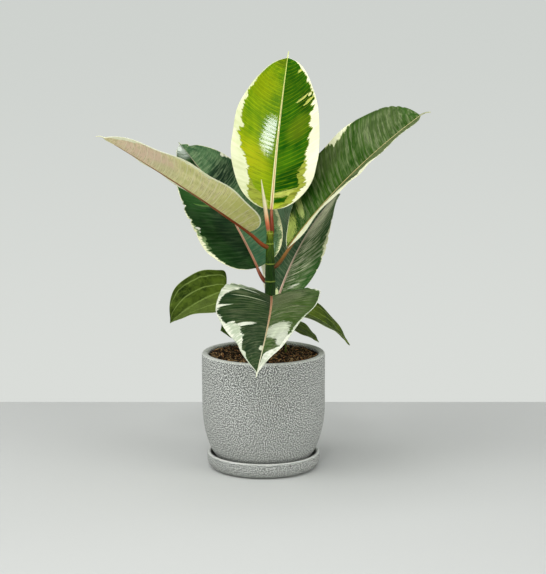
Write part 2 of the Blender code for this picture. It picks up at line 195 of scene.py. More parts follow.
def rise(value, low, high):
    """0 below low, 1 above high, and a smooth climb between."""
    settings = {"interpolation_type": "SMOOTHSTEP"}
    return value.finish.node("ShaderNodeMapRange", settings, value, low, high, 0.0, 1.0)


def fall(value, low, high):
    """1 below low and 0 above high."""
    return 1 - rise(value, low, high)


def ramp(value, stops):
    """A colour that goes through stops of (place, colour)."""
    return value.finish.node("ShaderNodeValToRGB", {"stops": stops}, value)


def grain(vector, scale, detail=2.0):
    """Soft noise from 0 to 1, with the middle at about 0.5."""
    return vector.finish.node("ShaderNodeTexNoise", None, Vector=vector, Scale=scale, Detail=detail)


def sway(soft_noise, amount):
    """Noise that swings to both sides of nothing, by half the amount at most."""
    return (soft_noise - 0.5) * amount


def triple(finish, x, y, z):
    return finish.node("ShaderNodeCombineXYZ", None, x, y, z)


def moved(vector, amount):
    """The same coordinates moved aside, for noise that has nothing to do with the first."""
    shift = (amount, amount * 0.7, -amount)
    return vector.finish.node("ShaderNodeVectorMath", {"operation": "ADD"}, vector, shift)


def bump(height, strength, distance):
    return height.finish.node("ShaderNodeBump", None, Strength=strength, Distance=distance, Height=height)


print("shader helpers ready")

# %% [markdown]
# Studio
#
# The studio has a plain wall and a plain floor that meet in a straight line. The floor is a real plane that
# ends where that line is, and the wall is only the colour of the world behind it, so that nothing stands in
# the way when the plant is looked at from behind. The world is pale near the horizon, where it is seen, and
# dim overhead, as a studio's ceiling is: glossy leaves mirror that ceiling, and a pale one would wash their
# greens out. The light comes from a soft panel high in front on the left, a weaker one on the right, one
# above, and a narrow bright strip. Gloss mirrors only the strip, which gives the window-like gleam on the
# top leaf. The large panels are hidden from it.

# %% Floor, wall and lights
FLOOR_BACK = 0.338
FLOOR_REACH = 4.0
WALL_LOW, WALL_HIGH, CEILING = srgb(218, 221, 217), srgb(206, 210, 206), srgb(116, 118, 118)
FLOOR_COLOUR = srgb(205, 207, 204)

floor_points = [(x, y, 0) for y in (-FLOOR_REACH, FLOOR_BACK) for x in (-FLOOR_REACH, FLOOR_REACH)]
floor_mesh = bpy.data.meshes.new("floor")
floor_mesh.from_pydata(floor_points, [], [(0, 1, 3, 2)])
floor = bpy.data.objects.new("floor", floor_mesh)
bpy.context.scene.collection.objects.link(floor)
floor_mesh.materials.append(Finish("pale_floor", Roughness=0.85).show(FLOOR_COLOUR))


class Surroundings(Finish):
    """The colour of the world in each direction, built from the same nodes as a finish."""

    def __init__(self, name):
        self.world = bpy.data.worlds.new(name)
        self.world.use_nodes = True
        self.tree = self.world.node_tree

    def show(self, colour):
        self.feed(self.tree.nodes["Background"].inputs["Color"], colour)
        return self.world


studio = Surroundings("studio")
_, _, above_horizon = studio.parts(studio.node("ShaderNodeTexCoord", output=GENERATED))
wall = mix(rise(above_horizon, -0.24, 0.02), WALL_LOW, WALL_HIGH)
bpy.context.scene.world = studio.show(mix(rise(above_horizon, 0.06, 0.40), wall, CEILING))
bpy.context.scene.view_settings.view_transform = "Standard"


def panel(name, place, size, watts, aim=(0, 0, 0.25), mirrored=False):
    """A soft light, width by height in metres, that faces one point. Gloss mirrors it only if asked to."""
    data = bpy.data.lights.new(name, "AREA")
    data.shape = "RECTANGLE"
    data.size, data.size_y = size
    data.energy = watts
    made = bpy.data.objects.new(name, data)
    bpy.context.scene.collection.objects.link(made)
    made.location = place
    made.visible_glossy = mirrored
    made.rotation_euler = (Vector(aim) - Vector(place)).to_track_quat("-Z", "Y").to_euler()


panel("key_panel", (-1.9, -1.2, 2.0), (2.6, 2.6), 52)
panel("fill_panel", (1.9, -1.5, 1.2), (2.2, 2.2), 29)
panel("top_panel", (0.0, -0.2, 2.3), (2.4, 2.4), 20)
panel("window_strip", (-0.12, -1.05, 1.09), (0.32, 0.16), 4.2, aim=(0, 0.05, 0.41), mirrored=True)
print("floor ends at y =", FLOOR_BACK)

# %% [markdown]
# Pieces from numbers
#
# Two helpers make nearly all the meshes. One takes a grid of points and closes it into a thin sheet, such
# as a leaf. The other takes rings of points and closes them into a rod or a turned pot. Both store where
# each point lies in the piece's own terms as a UV map called place, which most of the materials read.

# %% Mesh helpers
SHARP_ANGLE = 50


def add_layer(mesh, name, values):
    """Keeps a pair of numbers for each point of a mesh as a UV map."""
    corner_points = np.empty(len(mesh.loops), np.int32)
    mesh.loops.foreach_get("vertex_index", corner_points)
    pairs = np.asarray(values, np.float32)[corner_points]
    mesh.uv_layers.new(name=name).uv.foreach_set("vector", pairs.ravel())


def add_piece(name, points, faces, places, materials, numbers=None, replaces=(), slot=None):
    """A smooth mesh object that rides with the plant. places holds a UV pair for each point."""
    mesh = bpy.data.meshes.new(name)
    mesh.from_pydata(np.asarray(points).tolist(), [], faces)
    add_layer(mesh, "place", places)
    for made in materials:
        mesh.materials.append(made)
    if numbers is not None:
        mesh.polygons.foreach_set("material_index", np.asarray(numbers, np.int32))
    mesh.shade_smooth()
    mesh.set_sharp_from_angle(angle=radians(SHARP_ANGLE))
    piece = bpy.data.objects.new(name, mesh)
    bpy.context.scene.collection.objects.link(piece)
    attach(piece, "root")
    if replaces:
        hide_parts(*replaces)
    return piece


def grid_faces(rows, columns, around=False):
    """Four-sided faces of a grid of points counted row by row. around joins the last column to the first."""
    faces = []
    for i in range(rows - 1):
        for j in range(columns if around else columns - 1):
            a, b = i * columns + j, i * columns + (j + 1) % columns
            faces.append((a, b, b + columns, a + columns))
    return faces


def sheet(name, upper, lower, places, finishes, **facts):
    """A thin closed sheet from two grids of points of the same shape: rows, columns, xyz."""
    rows, columns = upper.shape[:2]
    count = rows * columns
    top = grid_faces(rows, columns)
    under = [(a + count, d + count, c + count, b + count) for a, b, c, d in top]
    rim = [i * columns for i in range(rows)]
    rim += [(rows - 1) * columns + j for j in range(1, columns)]
    rim += [i * columns + columns - 1 for i in range(rows - 2, -1, -1)]
    rim += list(range(columns - 2, 0, -1))
    edge = [(a, b, b + count, a + count) for a, b in zip(rim, rim[1:] + rim[:1])]
    points = np.concatenate([upper.reshape(-1, 3), lower.reshape(-1, 3)])
    both = np.concatenate([places.reshape(-1, 2)] * 2)
    numbers = [0] * len(top) + [1] * len(under) + [0] * len(edge)
    faces = top + under + edge
    return add_piece(name, points, faces, both, finishes, numbers, **facts)


def rings(name, circles, places, finishes, capped=True, **facts):
    """A closed body from rings of points, each ring joined to the next, with its ends filled."""
    rows, sides = circles.shape[:2]
    faces = grid_faces(rows, sides, around=True)
    if capped:
        faces.append(tuple(range(sides))[::-1])
        faces.append(tuple((rows - 1) * sides + j for j in range(sides)))
    else:
        last = (rows - 1) * sides
        faces += [(last + j, last + (j + 1) % sides, (j + 1) % sides, j) for j in range(sides)]
    return add_piece(name, circles.reshape(-1, 3), faces, places.reshape(-1, 2), finishes, **facts)


def rod(name, path, radii, sides, finishes, **facts):
    """A round rod along a path of points, with its own radius at each."""
    path, radii = np.asarray(path, float), np.asarray(radii, float)
    ahead = np.gradient(path, axis=0)
    ahead /= np.linalg.norm(ahead, axis=1, keepdims=True)
    across = np.cross(ahead[0], (0.31, 0.87, 0.37))
    circles, places = [], []
    turns = np.linspace(0, 2 * pi, sides, endpoint=False)
    for i, (point, forward, radius) in enumerate(zip(path, ahead, radii)):
        across = across - forward * across.dot(forward)
        across /= np.linalg.norm(across)
        other = np.cross(forward, across)
        circles.append(point + radius * (np.outer(np.cos(turns), across) + np.outer(np.sin(turns), other)))
        places.append(np.stack([turns / (2 * pi), np.full(sides, i / (len(path) - 1))], 1))
    return rings(name, np.array(circles), np.array(places), finishes, **facts)


def turned(name, profile, sides, finishes, closed=False, wobble=0.0, centre=(0, 0), **facts):
    """A piece turned round an upright axis from (radius, height) points that run down its outer side."""
    turns = np.linspace(0, 2 * pi, sides, endpoint=False)
    circles, places = [], []
    for i, (radius, height) in enumerate(profile):
        uneven = [1 + wobble * noise.noise(Vector((cos(a), sin(a), height * 20))) for a in turns]
        radii = radius * np.array(uneven)
        x, y = centre[0] + radii * np.cos(turns), centre[1] + radii * np.sin(turns)
        circles.append(np.stack([x, y, np.full(sides, height)], 1))
        places.append(np.stack([turns / (2 * pi), np.full(sides, i / (len(profile) - 1))], 1))
    circles = np.array(circles)[:, ::-1]
    return rings(name, circles, np.array(places), finishes, capped=not closed, **facts)


def arc(centre, radii, start, end, steps):
    """Points of an ellipse's arc. The angles are in degrees, from outwards towards up."""
    angles = [radians(start + (end - start) * i / steps) for i in range(steps + 1)]
    return [(centre[0] + radii[0] * cos(a), centre[1] + radii[1] * sin(a)) for a in angles]


def along(start, end, steps):
    """Evenly spaced points after start up to end, so that a long straight wall has rows of its own."""
    return [tuple(a + (b - a) * i / steps for a, b in zip(start, end)) for i in range(1, steps + 1)]


print("mesh helpers ready")

# %% [markdown]
# Pot and saucer
#
# Both are turned from the same sizes as the solids, with far more sides and a slight unevenness, as thrown
# clay has. The glaze is grey and sandy all over: grains of about a millimetre, each a little paler or
# darker than the next, and a few pits low down. Noise through a solid would be cut by the round wall into
# uneven blotches. So the grains come from flat noise laid on the skin: the way round the pot is one
# direction, and height with some of the radius is the other, which keeps grains as round on the curve of
# the foot as on the wall.

# %% Turn the pot and the saucer
GAP = 0.0003
SAUCER_RADIUS, SAUCER_HEIGHT, SAUCER_FLOOR = 0.0690, 0.0197, 0.0050
SAUCER_WALL, SAUCER_CORNER, SAUCER_LIP = 0.0045, 0.0120, 0.0020
POT_RADIUS, POT_RIM_Z, POT_WALL, POT_LIP = 0.0750, 0.1432, 0.0079, 0.0030
POT_SHOULDER_Z, POT_FOOT_RADIUS, POT_FOOT_WIDTH, POT_FOOT_RECESS = 0.0800, 0.0416, 0.0070, 0.0015
DRAIN_RADIUS, POT_INSIDE_FLOOR, POT_FLOOR = 0.0060, 0.0370, 0.0080
POT_Z = SAUCER_FLOOR + GAP
POT_FLOOR_Z = POT_Z + POT_FLOOR
POT_INSIDE_RADIUS = POT_RADIUS - POT_WALL
CLAY_SIDES, CLAY_WOBBLE = 160, 0.004
AXIS_HOLE = 0.0005
GRAIN_SCALE, DUST_SCALE, PIT_SCALE = 860, 1500, 75

# the dark, middle and pale grains, the paler lip and the pits
CLAY_SHADES = ((64, 67, 64), (144, 147, 143), (236, 238, 232), (226, 229, 222), (52, 54, 52))


def speckled_clay(name, tint, lip):
    """Matt sandy glaze, made lighter or darker as a whole by tint, and paler above the height lip."""
    finish = Finish(name, Coat_Weight=0.03, Coat_Roughness=0.4)
    spot = finish.spot()
    x, y, height = finish.parts(spot)
    turn = height.maths("ARCTAN2", x, y * -1.0)
    radius = height.maths("SQRT", x * x + y * y)
    skin = triple(finish, turn * POT_RADIUS, height + radius * 0.4, 0.0)
    dust = grain(moved(spot, 3.1), DUST_SCALE)
    tone = 0.45 + sway(grain(skin, GRAIN_SCALE, 0), 2.9) + sway(dust, 0.6)
    dark, middle, pale, lip_tone, hollow = (tuple(c * tint for c in srgb(*shade)) for shade in CLAY_SHADES)
    colour = mix(rise(tone, 0.12, 0.50), dark, middle)
    colour = mix(rise(tone, 0.50, 0.82), colour, pale)
    colour = mix(rise(height, lip - 0.0012, lip + 0.0004) * 0.65, colour, lip_tone)
    cells = finish.node("ShaderNodeTexVoronoi", {"feature": "F1"}, Vector=spot, Scale=PIT_SCALE)
    chosen = rise(grain(moved(spot, 7.7), 40, 1), 0.56, 0.62)
    pit = fall(cells, 0.05, 0.09) * chosen * (0.10 + fall(height, 0.03, 0.09) * 0.9)
    colour = mix(pit, colour, hollow)
    relief = tone * 0.8 - pit * 2.4 + dust * 0.3
    return finish.show(colour, 0.58 + dust * 0.12, bump(relief, 0.5, 0.00035))


def pot_profile():
    """(radius, height) points down the outside, under the foot and up the inside."""
    lip = (POT_LIP, POT_LIP)
    points = arc((POT_RADIUS - POT_LIP, POT_RIM_Z - POT_LIP), lip, 90, 0, 8)
    points += along(points[-1], (POT_RADIUS, POT_SHOULDER_Z), 12)
    belly = (POT_RADIUS - POT_FOOT_RADIUS, POT_SHOULDER_Z - POT_Z)
    points += arc((POT_FOOT_RADIUS, POT_SHOULDER_Z), belly, 0, -90, 28)[1:]
    foot_inside = POT_FOOT_RADIUS - POT_FOOT_WIDTH
    points += [(foot_inside, POT_Z), (foot_inside - POT_FOOT_RECESS, POT_Z + POT_FOOT_RECESS)]
    points += [(DRAIN_RADIUS, POT_Z + POT_FOOT_RECESS), (DRAIN_RADIUS, POT_FLOOR_Z)]
    hollow = (POT_INSIDE_RADIUS - POT_INSIDE_FLOOR, POT_SHOULDER_Z - POT_FLOOR_Z)
    points += arc((POT_INSIDE_FLOOR, POT_SHOULDER_Z), hollow, -90, 0, 12)
    points += along(points[-1], (POT_INSIDE_RADIUS, POT_RIM_Z - POT_LIP), 4)
    points += arc((POT_INSIDE_RADIUS + POT_LIP, POT_RIM_Z - POT_LIP), lip, 180, 90, 8)[1:]
    return points


def saucer_profile():
    inside = SAUCER_RADIUS - SAUCER_WALL
    inner_corner = SAUCER_CORNER - SAUCER_WALL
    inner_bend, outer_bend = (inner_corner, inner_corner), (SAUCER_CORNER, SAUCER_CORNER)
    lip_z = SAUCER_HEIGHT - SAUCER_LIP
    lip = (SAUCER_LIP, SAUCER_LIP)
    points = [(AXIS_HOLE, SAUCER_FLOOR), (POT_FOOT_RADIUS, SAUCER_FLOOR)]
    points += arc((inside - inner_corner, SAUCER_FLOOR + inner_corner), inner_bend, -90, 0, 10)
    points += arc((inside + SAUCER_LIP, lip_z), lip, 180, 90, 6)
    points += arc((SAUCER_RADIUS - SAUCER_LIP, lip_z), lip, 90, 0, 6)
    points += arc((SAUCER_RADIUS - SAUCER_CORNER, SAUCER_CORNER), outer_bend, 0, -90, 14)
    return points + [(AXIS_HOLE, 0)]


clay = speckled_clay("speckled_clay", 1.0, POT_RIM_Z - 0.0014)
saucer_clay = speckled_clay("speckled_clay_saucer", 0.97, SAUCER_HEIGHT - 0.0008)
turned(
    "pot_clay", pot_profile(), CLAY_SIDES, [clay], closed=True, wobble=CLAY_WOBBLE,
    replaces=["pot"], slot="pot_ceramic",
)
turned(
    "saucer_clay", saucer_profile(), CLAY_SIDES, [saucer_clay], wobble=CLAY_WOBBLE,
    replaces=["saucer"], slot="saucer_ceramic",
)
print("pot and saucer turned with", CLAY_SIDES, "sides")

# %% [markdown]
# Potting mix
#
# Soil in a pot is not a surface but a heap: crumbs, bits of bark and coir fibres. A flat disc with a bump
# map shows that from the side. So the ground here is a fine grid pushed up and down by noise, with some
# thousands of small chips and fibres strewn on it as real geometry, from one seeded generator, so that each
# run is the same.

# %% Soil
SOIL_DROP, SOIL_DOME, SOIL_BUMP, LUMP_HEIGHT = 0.0045, 0.0040, 0.0011, 0.0016
SOIL_Z = POT_RIM_Z - SOIL_DROP
SOIL_RADIUS = POT_INSIDE_RADIUS - GAP
SOIL_ROWS, SOIL_SIDES = 72, 180
SETTLED_BAND = 0.0040    # the lumps flatten out over this width beside the pot
BURIED = 0.0120          # how far hidden ends reach down into the soil
STEM_X, STEM_CLEARANCE = 0.0080, 0.0080
BARK_CHIPS, COIR_FIBRES, STREWN_REACH = 2600, 1100, 0.97
chance = random.Random(7)


def ground_z(x, y, settled=1.0):
    """The height of the ground: a low dome of crumbs and hollows, with lumps of a few millimetres over it."""
    reach = math.hypot(x, y) / POT_INSIDE_RADIUS
    crumbs = sin(430 * x + 1.3 * sin(310 * y)) + sin(370 * y + 0.9) * cos(290 * x - 0.4) + sin(650 * (x + y))
    dome = SOIL_DOME * (1 - reach**2) + SOIL_BUMP * crumbs * (1 - reach**6)
    lumps = noise.noise(Vector((x * 260, y * 260, 1.7))) + 0.6 * noise.noise(Vector((x * 620, y * 620, 5.1)))
    return SOIL_Z + dome + LUMP_HEIGHT * lumps * settled


def soil_ground():
    finish = Finish("potting_mix")
    spot = finish.spot()
    lumps = grain(spot, 330, 4)
    crumbs = grain(moved(spot, 2.3), 900, 3)
    colour = mix(rise(lumps, 0.35, 0.65), srgb(12, 10, 8), srgb(38, 30, 20))
    colour = mix(rise(crumbs, 0.58, 0.72) * 0.6, colour, srgb(104, 76, 50))
    colour = mix(rise(crumbs, 0.30, 0.44), srgb(14, 10, 8), colour)
    ground = finish.show(colour, 0.95, bump(lumps + crumbs * 0.8, 0.9, 0.0012))
    turns = np.linspace(0, 2 * pi, SOIL_SIDES, endpoint=False)
    outline = [(SOIL_RADIUS * cos(a), SOIL_RADIUS * sin(a), SOIL_Z - BURIED) for a in turns]
    circles, places = [outline], [np.stack([turns, np.full(SOIL_SIDES, SOIL_RADIUS)], 1)]
    for i in range(SOIL_ROWS):
        radius = SOIL_RADIUS * (1 - i / (SOIL_ROWS - 0.6))
        settled = min(1, (SOIL_RADIUS - radius) / SETTLED_BAND)
        circle = [(radius * cos(a), radius * sin(a)) for a in turns]
        circles.append([(x, y, ground_z(x, y, settled)) for x, y in circle])
        places.append(np.stack([turns, np.full(SOIL_SIDES, radius)], 1))
    facts = dict(replaces=["soil"], slot="potting_soil")
    rings("soil_ground", np.array(circles), np.array(places), [ground], **facts)


def strewn_bits(name, count, finish, make):
    """Many small bits on the soil as one piece. make gives the points and faces of one bit."""
    points, faces, places = [], [], []
    for _ in range(count):
        reach, turn = SOIL_RADIUS * STREWN_REACH * math.sqrt(chance.random()), chance.uniform(0, 2 * pi)
        x, y = reach * cos(turn), reach * sin(turn)
        if math.hypot(x - STEM_X, y) < STEM_CLEARANCE:
            continue
        bit, bit_faces = make(Vector((x, y, ground_z(x, y))))
        shade = chance.random()
        faces += [tuple(len(points) + corner for corner in face) for face in bit_faces]
        points += bit
        places += [(shade, i / len(bit)) for i in range(len(bit))]
    add_piece(name, np.array(points), faces, places, [finish], slot="potting_soil")
    print(name, "has", len(faces), "faces")


def bark_chip(place):
    """A flat, splintered chip a few millimetres long, lying at its own tilt."""
    length, width = chance.uniform(0.0010, 0.0038), chance.uniform(0.0006, 0.0015)
    thick, turn = chance.uniform(0.0004, 0.0010), chance.uniform(0, 2 * pi)
    lean, roll = chance.gauss(0, 0.35), chance.gauss(0, 0.4)
    forward = Vector((cos(turn) * cos(lean), sin(turn) * cos(lean), sin(lean)))
    side = Vector((-sin(turn), cos(turn), sin(roll))).normalized()
    up = forward.cross(side)
    outline = [(-1, -0.5), (-0.2, -1), (0.7, -0.7), (1, 0.1), (0.3, 0.9), (-0.6, 0.8)]
    outline = [(a * chance.uniform(0.7, 1.1), b * chance.uniform(0.6, 1.1)) for a, b in outline]
    middle = place + Vector((0, 0, thick * 0.3))
    points = []
    for part, lifted in ((2, up * thick / 2), (2.2, up * -thick / 2)):
        for a, b in outline:
            points.append(middle + forward * a * length / part + side * b * width / part + lifted)
    top, under = (0, 1, 2, 3, 4, 5), (11, 10, 9, 8, 7, 6)
    return points, [top, under] + [(i + 6, (i + 1) % 6 + 6, (i + 1) % 6, i) for i in range(6)]


def fibre(place):
    """A thin bent fibre with three sides."""
    length, radius = chance.uniform(0.004, 0.012), chance.uniform(0.00014, 0.00030)
    turn, bend, lift = chance.uniform(0, 2 * pi), chance.gauss(0, 1.2), chance.uniform(0.0002, 0.0014)
    points, steps = [], 6
    for i in range(steps + 1):
        share = i / steps
        heading = turn + bend * share
        step = Vector((cos(heading), sin(heading), 0)) * length * (share - 0.5)
        x, y = place.x + step.x, place.y + step.y
        if math.hypot(x, y) > SOIL_RADIUS - 0.001:
            x, y = place.x, place.y
        middle = Vector((x, y, ground_z(x, y) + radius + lift * sin(pi * share)))
        side = Vector((-sin(heading), cos(heading), 0))
        for k in range(3):
            a = 2 * pi * k / 3
            points.append(middle + radius * (side * cos(a) + Vector((0, 0, sin(a)))))
    faces = grid_faces(steps + 1, 3, around=True)
    return points, faces + [(2, 1, 0), tuple(3 * steps + k for k in range(3))]


def bits_finish(name, dark, pale, roughness):
    """Each bit has a shade of its own, from the first number of its place."""
    finish = Finish(name)
    shade, _ = finish.layer("place")
    streaks = grain(finish.spot(), 1400)
    colour = mix(rise(shade * shade * shade + streaks * 0.25, 0.15, 1.05), srgb(*dark), srgb(*pale))
    return finish.show(colour, roughness, bump(streaks, 0.6, 0.0003))


soil_ground()
strewn_bits("bark_chips", BARK_CHIPS, bits_finish("bark", (13, 10, 6), (206, 146, 92), 0.85), bark_chip)
strewn_bits("coir_fibres", COIR_FIBRES, bits_finish("coir", (36, 26, 14), (250, 206, 144), 0.8), fibre)

# %% [markdown]
# The shape of a leaf
#
# A rubber plant leaf is a stiff oval folded a little along its midrib, which bends and twists as it goes.
# So each leaf is a handful of numbers: where its base is, which way it heads and climbs, how much both
# change by the tip, and how far each half is folded up. These are the same numbers as in the solids, so
# both have the same leaves in the same places.

# %% Leaf numbers
LEAVES = {
    "top": dict(
        base=(0.0098, 0.0140, 0.3156), length=0.189, left=0.057, right=0.058, heading=76, turn=-14,
        rise=73, droop=0, roll=6, twist=-9, fold_left=11, fold_right=11, curl=0, fullness=0.92, taper=0.50,
        wave=0.0012, tip=0.008, ring=0.2880, foot=0.2860, side=60, lean=45,
        swell_left=[(0.92, 0.06, -0.07), (0.68, 0.15, 0.035)], swell_right=[(0.20, 0.13, 0.055)],
    ),
    "left": dict(
        base=(-0.0165, -0.0120, 0.2922), length=0.227, left=0.055, right=0.052, heading=214, turn=-3,
        rise=34, droop=-4, roll=7, twist=1, fold_left=12, fold_right=21, curl=0, fullness=0.80, taper=0.50,
        wave=0.0012, tip=0.010, tip_droop=40, ring=0.2755, foot=0.2722, side=205, opening_right=-6,
        swell_right=[(0.80, 0.22, -0.45)],
    ),
    "rear_left": dict(
        base=(-0.0072, 0.0100, 0.2452), length=0.195, left=0.055, right=0.057, heading=131, turn=12,
        rise=53, droop=-12, roll=-25, twist=4, fold_left=10, fold_right=12, curl=9, fullness=0.76, taper=0.55,
        wave=0.0012, tip=0.004, ring=0.2297, foot=0.2290, side=150,
        swell_left=[(0.20, 0.15, 0.045), (0.93, 0.05, -0.20)],
    ),
    "right": dict(
        base=(0.0291, 0.0000, 0.2706), length=0.226, left=0.056, right=0.049, heading=1, turn=4,
        rise=54, droop=-18, roll=13, twist=12, fold_left=26, fold_right=8, curl=0, fullness=1.25, taper=0.50,
        wave=0.0014, tip=0.013, tip_droop=36, ring=0.2510, foot=0.2478, side=0, opening_right=17,
        swell_left=[(0.05, 0.07, -0.22), (0.36, 0.16, 0.15), (0.80, 0.20, 0.06)],
        lift_right=[(0.55, 0.06, -5)],
    ),
    "rear_right": dict(
        base=(0.0171, 0.0140, 0.2051), length=0.177, left=0.047, right=0.049, heading=61, turn=-12,
        rise=53, droop=-22, roll=8, twist=-29, fold_left=24, fold_right=12, curl=0, fullness=0.89, taper=0.50,
        wave=0.0012, tip=0.004, ring=0.1880, foot=0.1880, side=55,
        swell_left=[(0.12, 0.12, -0.25), (0.70, 0.22, 0.65)],
        swell_right=[(0.26, 0.12, 0.07), (0.75, 0.15, -0.18)],
    ),
    "front": dict(
        base=(0.0094, -0.0220, 0.2156), length=0.185, left=0.063, right=0.063, heading=-88, turn=-15,
        rise=1, droop=-39, roll=-1, twist=17, fold_left=22, fold_right=24, curl=13, fullness=0.66, taper=0.98,
        wave=0.0015, tip=0.005, ring=0.2040, foot=0.2040, side=-90, swell_left=[(0.88, 0.07, 0.22)],
        swell_right=[(0.52, 0.14, 0.06), (0.77, 0.07, -0.10)], lift_right=[(0.14, 0.14, 9)],
    ),
}
HEARTS = {
    "heart_left": dict(
        base=(-0.0452, 0.0040, 0.2185), length=0.083, half=0.040, heading=208, turn=-4, rise=-10,
        droop=-30, roll=-31, twist=24, fold_left=0, fold_right=15, point_left=1.40, point_right=0.55,
        swell_left=[(0.76, 0.20, -0.40)],
        swell_right=[(0.33, 0.15, -0.12), (0.67, 0.13, 0.05), (0.92, 0.08, -0.32)],
        root=(-0.0140, 0.0180),
    ),
    "heart_right": dict(
        base=(0.0349, 0.0054, 0.1969), length=0.088, half=0.034, heading=-2, turn=16, rise=-16,
        droop=-36, roll=11, twist=-5, fold_left=12, fold_right=8, point_left=0.90, point_right=0.90,
        root=(0.0270, 0.0000),
    ),
    "heart_right_low": dict(
        base=(0.0230, 0.0340, 0.1754), length=0.054, half=0.024, heading=-18, turn=7, rise=-12,
        droop=-32, roll=9, twist=-6, fold_left=-4, fold_right=6, point_left=0.90, point_right=0.90,
        root=(0.0180, 0.0300),
    ),
    "heart_left_low": dict(
        base=(-0.0115, -0.0120, 0.1790), length=0.042, half=0.028, heading=195, turn=0, rise=-2,
        droop=-10, roll=-38, twist=0, fold_left=8, fold_right=8, point_left=0.50, point_right=0.90,
        root=(-0.0110, -0.0060),
    ),
}
print(len(LEAVES), "large leaves and", len(HEARTS), "small ones")

# %% [markdown]
# From numbers to a surface
#
# Numpy works on whole arrays of points at once, which is quicker to write and to run than a loop. The
# midrib is found once as a fine line of points, and every other point of a leaf starts from it.

# %% Leaf surface
BLADE_BASE_HALF = 0.0015
DRIP_TIP_HALF, DRIP_TIP_END_HALF = 0.0011, 0.0004
CUSP = 0.0012


def bell(x, spread):
    """A smooth bump: 1 where x is 0, and next to nothing past twice the spread."""
    return np.exp(-((x / spread) ** 2))


def unit(values):
    """The same values, kept from 0 to 1."""
    return np.clip(values, 0, 1)


def by_half(t, make):
    """What make gives for the left half of a leaf, where t is 0 or more, and for the right half elsewhere."""
    return np.where(t >= 0, make("left"), make("right"))


def rib_directions(leaf, s):
    """Forward, left and up at shares s of the leaf's length."""
    s = np.asarray(s, float)
    heading = np.radians(leaf["heading"] + leaf["turn"] * s)
    past = np.maximum(0, s - 1) * leaf["length"] / leaf.get("tip", 1)
    climb = np.radians(leaf["rise"] + leaf["droop"] * s - leaf.get("tip_droop", 0) * past)
    roll = np.radians(leaf["roll"] + leaf["twist"] * s)[..., None]
    forward = np.stack([np.cos(heading) * np.cos(climb), np.sin(heading) * np.cos(climb), np.sin(climb)], -1)
    level = np.stack([-np.sin(heading), np.cos(heading), 0 * s], -1)
    up = np.cross(forward, level)
    return forward, level * np.cos(roll) + up * np.sin(roll), up * np.cos(roll) - level * np.sin(roll)


def rib_points(leaf, s):
    """Points on the midrib at shares s, which may lie a little before the base or past the tip."""
    shares = np.linspace(-0.5, 1.2, 3401)
    steps = rib_directions(leaf, (shares[1:] + shares[:-1]) / 2)[0] * leaf["length"] * (shares[1] - shares[0])
    line = np.concatenate([np.zeros((1, 3)), np.cumsum(steps, 0)])
    start = [np.interp(0, shares, line[:, k]) for k in range(3)]
    return np.stack([np.interp(s, shares, line[:, k]) - start[k] + leaf["base"][k] for k in range(3)], -1)


def bumps(leaf, kind, s):
    """The sum of a leaf's local changes of one kind, each a smooth bump near a share of the length."""
    return sum(amount * bell(s - centre, spread) for centre, spread, amount in leaf.get(kind, []))


def half_width(leaf, s, side):
    """From rib to edge: an egg-shaped oval that runs out into a narrow drip tip."""
    x = unit(s) ** leaf["fullness"]
    oval = (4 * x * (1 - x)) ** leaf["taper"] * leaf[side] * (1 + bumps(leaf, "swell_" + side, s))
    ahead = np.maximum(1 - s, 0) * leaf["length"]
    oval = oval * ahead / (ahead + CUSP)
    past = unit((s - 1) * leaf["length"] / leaf["tip"])
    point = DRIP_TIP_HALF + (DRIP_TIP_END_HALF - DRIP_TIP_HALF) * past
    return np.where(np.asarray(s) < 0.5, np.maximum(oval, BLADE_BASE_HALF), np.hypot(oval, point))


def fold_of(leaf, side, s):
    """How many degrees a half is lifted from flat."""
    opening = leaf.get("opening_" + side, 0) * (1 - (1 - s) ** 3)
    return leaf["fold_" + side] + opening + bumps(leaf, "lift_" + side, s)


def blade_surface(leaf, s, t, width):
    """The upper face and its up direction. t goes across from -1 at the right edge to 1 at the left."""
    angle = np.radians(by_half(t, lambda side: fold_of(leaf, side, s)) - leaf["curl"] * np.abs(t) / 2)
    _, left, up = rib_directions(leaf, s)
    ripple = leaf["wave"] * t * t * np.sin(7 * pi * s + np.where(t > 0, 0, 2))
    ripple = ripple * np.minimum(1, 4 * width / leaf["left"])
    points = rib_points(leaf, s) + left * (np.cos(angle) * t * width)[..., None]
    points += up * (np.sin(angle) * np.abs(t) * width + ripple)[..., None]
    tilt = (angle * np.sign(t))[..., None]
    return points, up * np.cos(tilt) - left * np.sin(tilt)

# %% [markdown]
# Leaf blades
#
# The side veins of a rubber plant leave the midrib every few millimetres and run to the edge, bending
# forwards. The rows of the mesh follow them, so relief and colour can both be told by two numbers: how far
# along the midrib the nearest vein starts, and how far across the half a point lies. The blade sinks a
# little at each vein and swells between them, and the sheet gets thinner towards its edge. A second UV map,
# reach, holds how many millimetres a point lies from the midrib and from the edge.

# %% Blade meshes
BLADE_THICKNESS, EDGE_THICKNESS = 0.0008, 0.00035
VEIN_SWEEP = 0.13
VEIN_DEPTH, SWELL_HEIGHT = 0.00010, 0.00028
RIB_GROOVE, RIB_GROOVE_HALF = 0.0005, 0.0016
VEIN_HALF, HALVES_APART = 0.09, 0.45    # in shares of the way from vein to vein
EDGE_UNEVEN, LEAST_HALF = 0.012, 0.0004
BLADE_ROWS, HALF_COLUMNS, TIP_ROWS = 300, 28, 6


def wandering(values, seed, scale):
    """Smooth noise between about -1 and 1 along an array of numbers."""
    made = [noise.noise(Vector((v * scale, seed * 3.7, 0.5))) for v in np.ravel(values)]
    return np.array(made).reshape(np.shape(values))


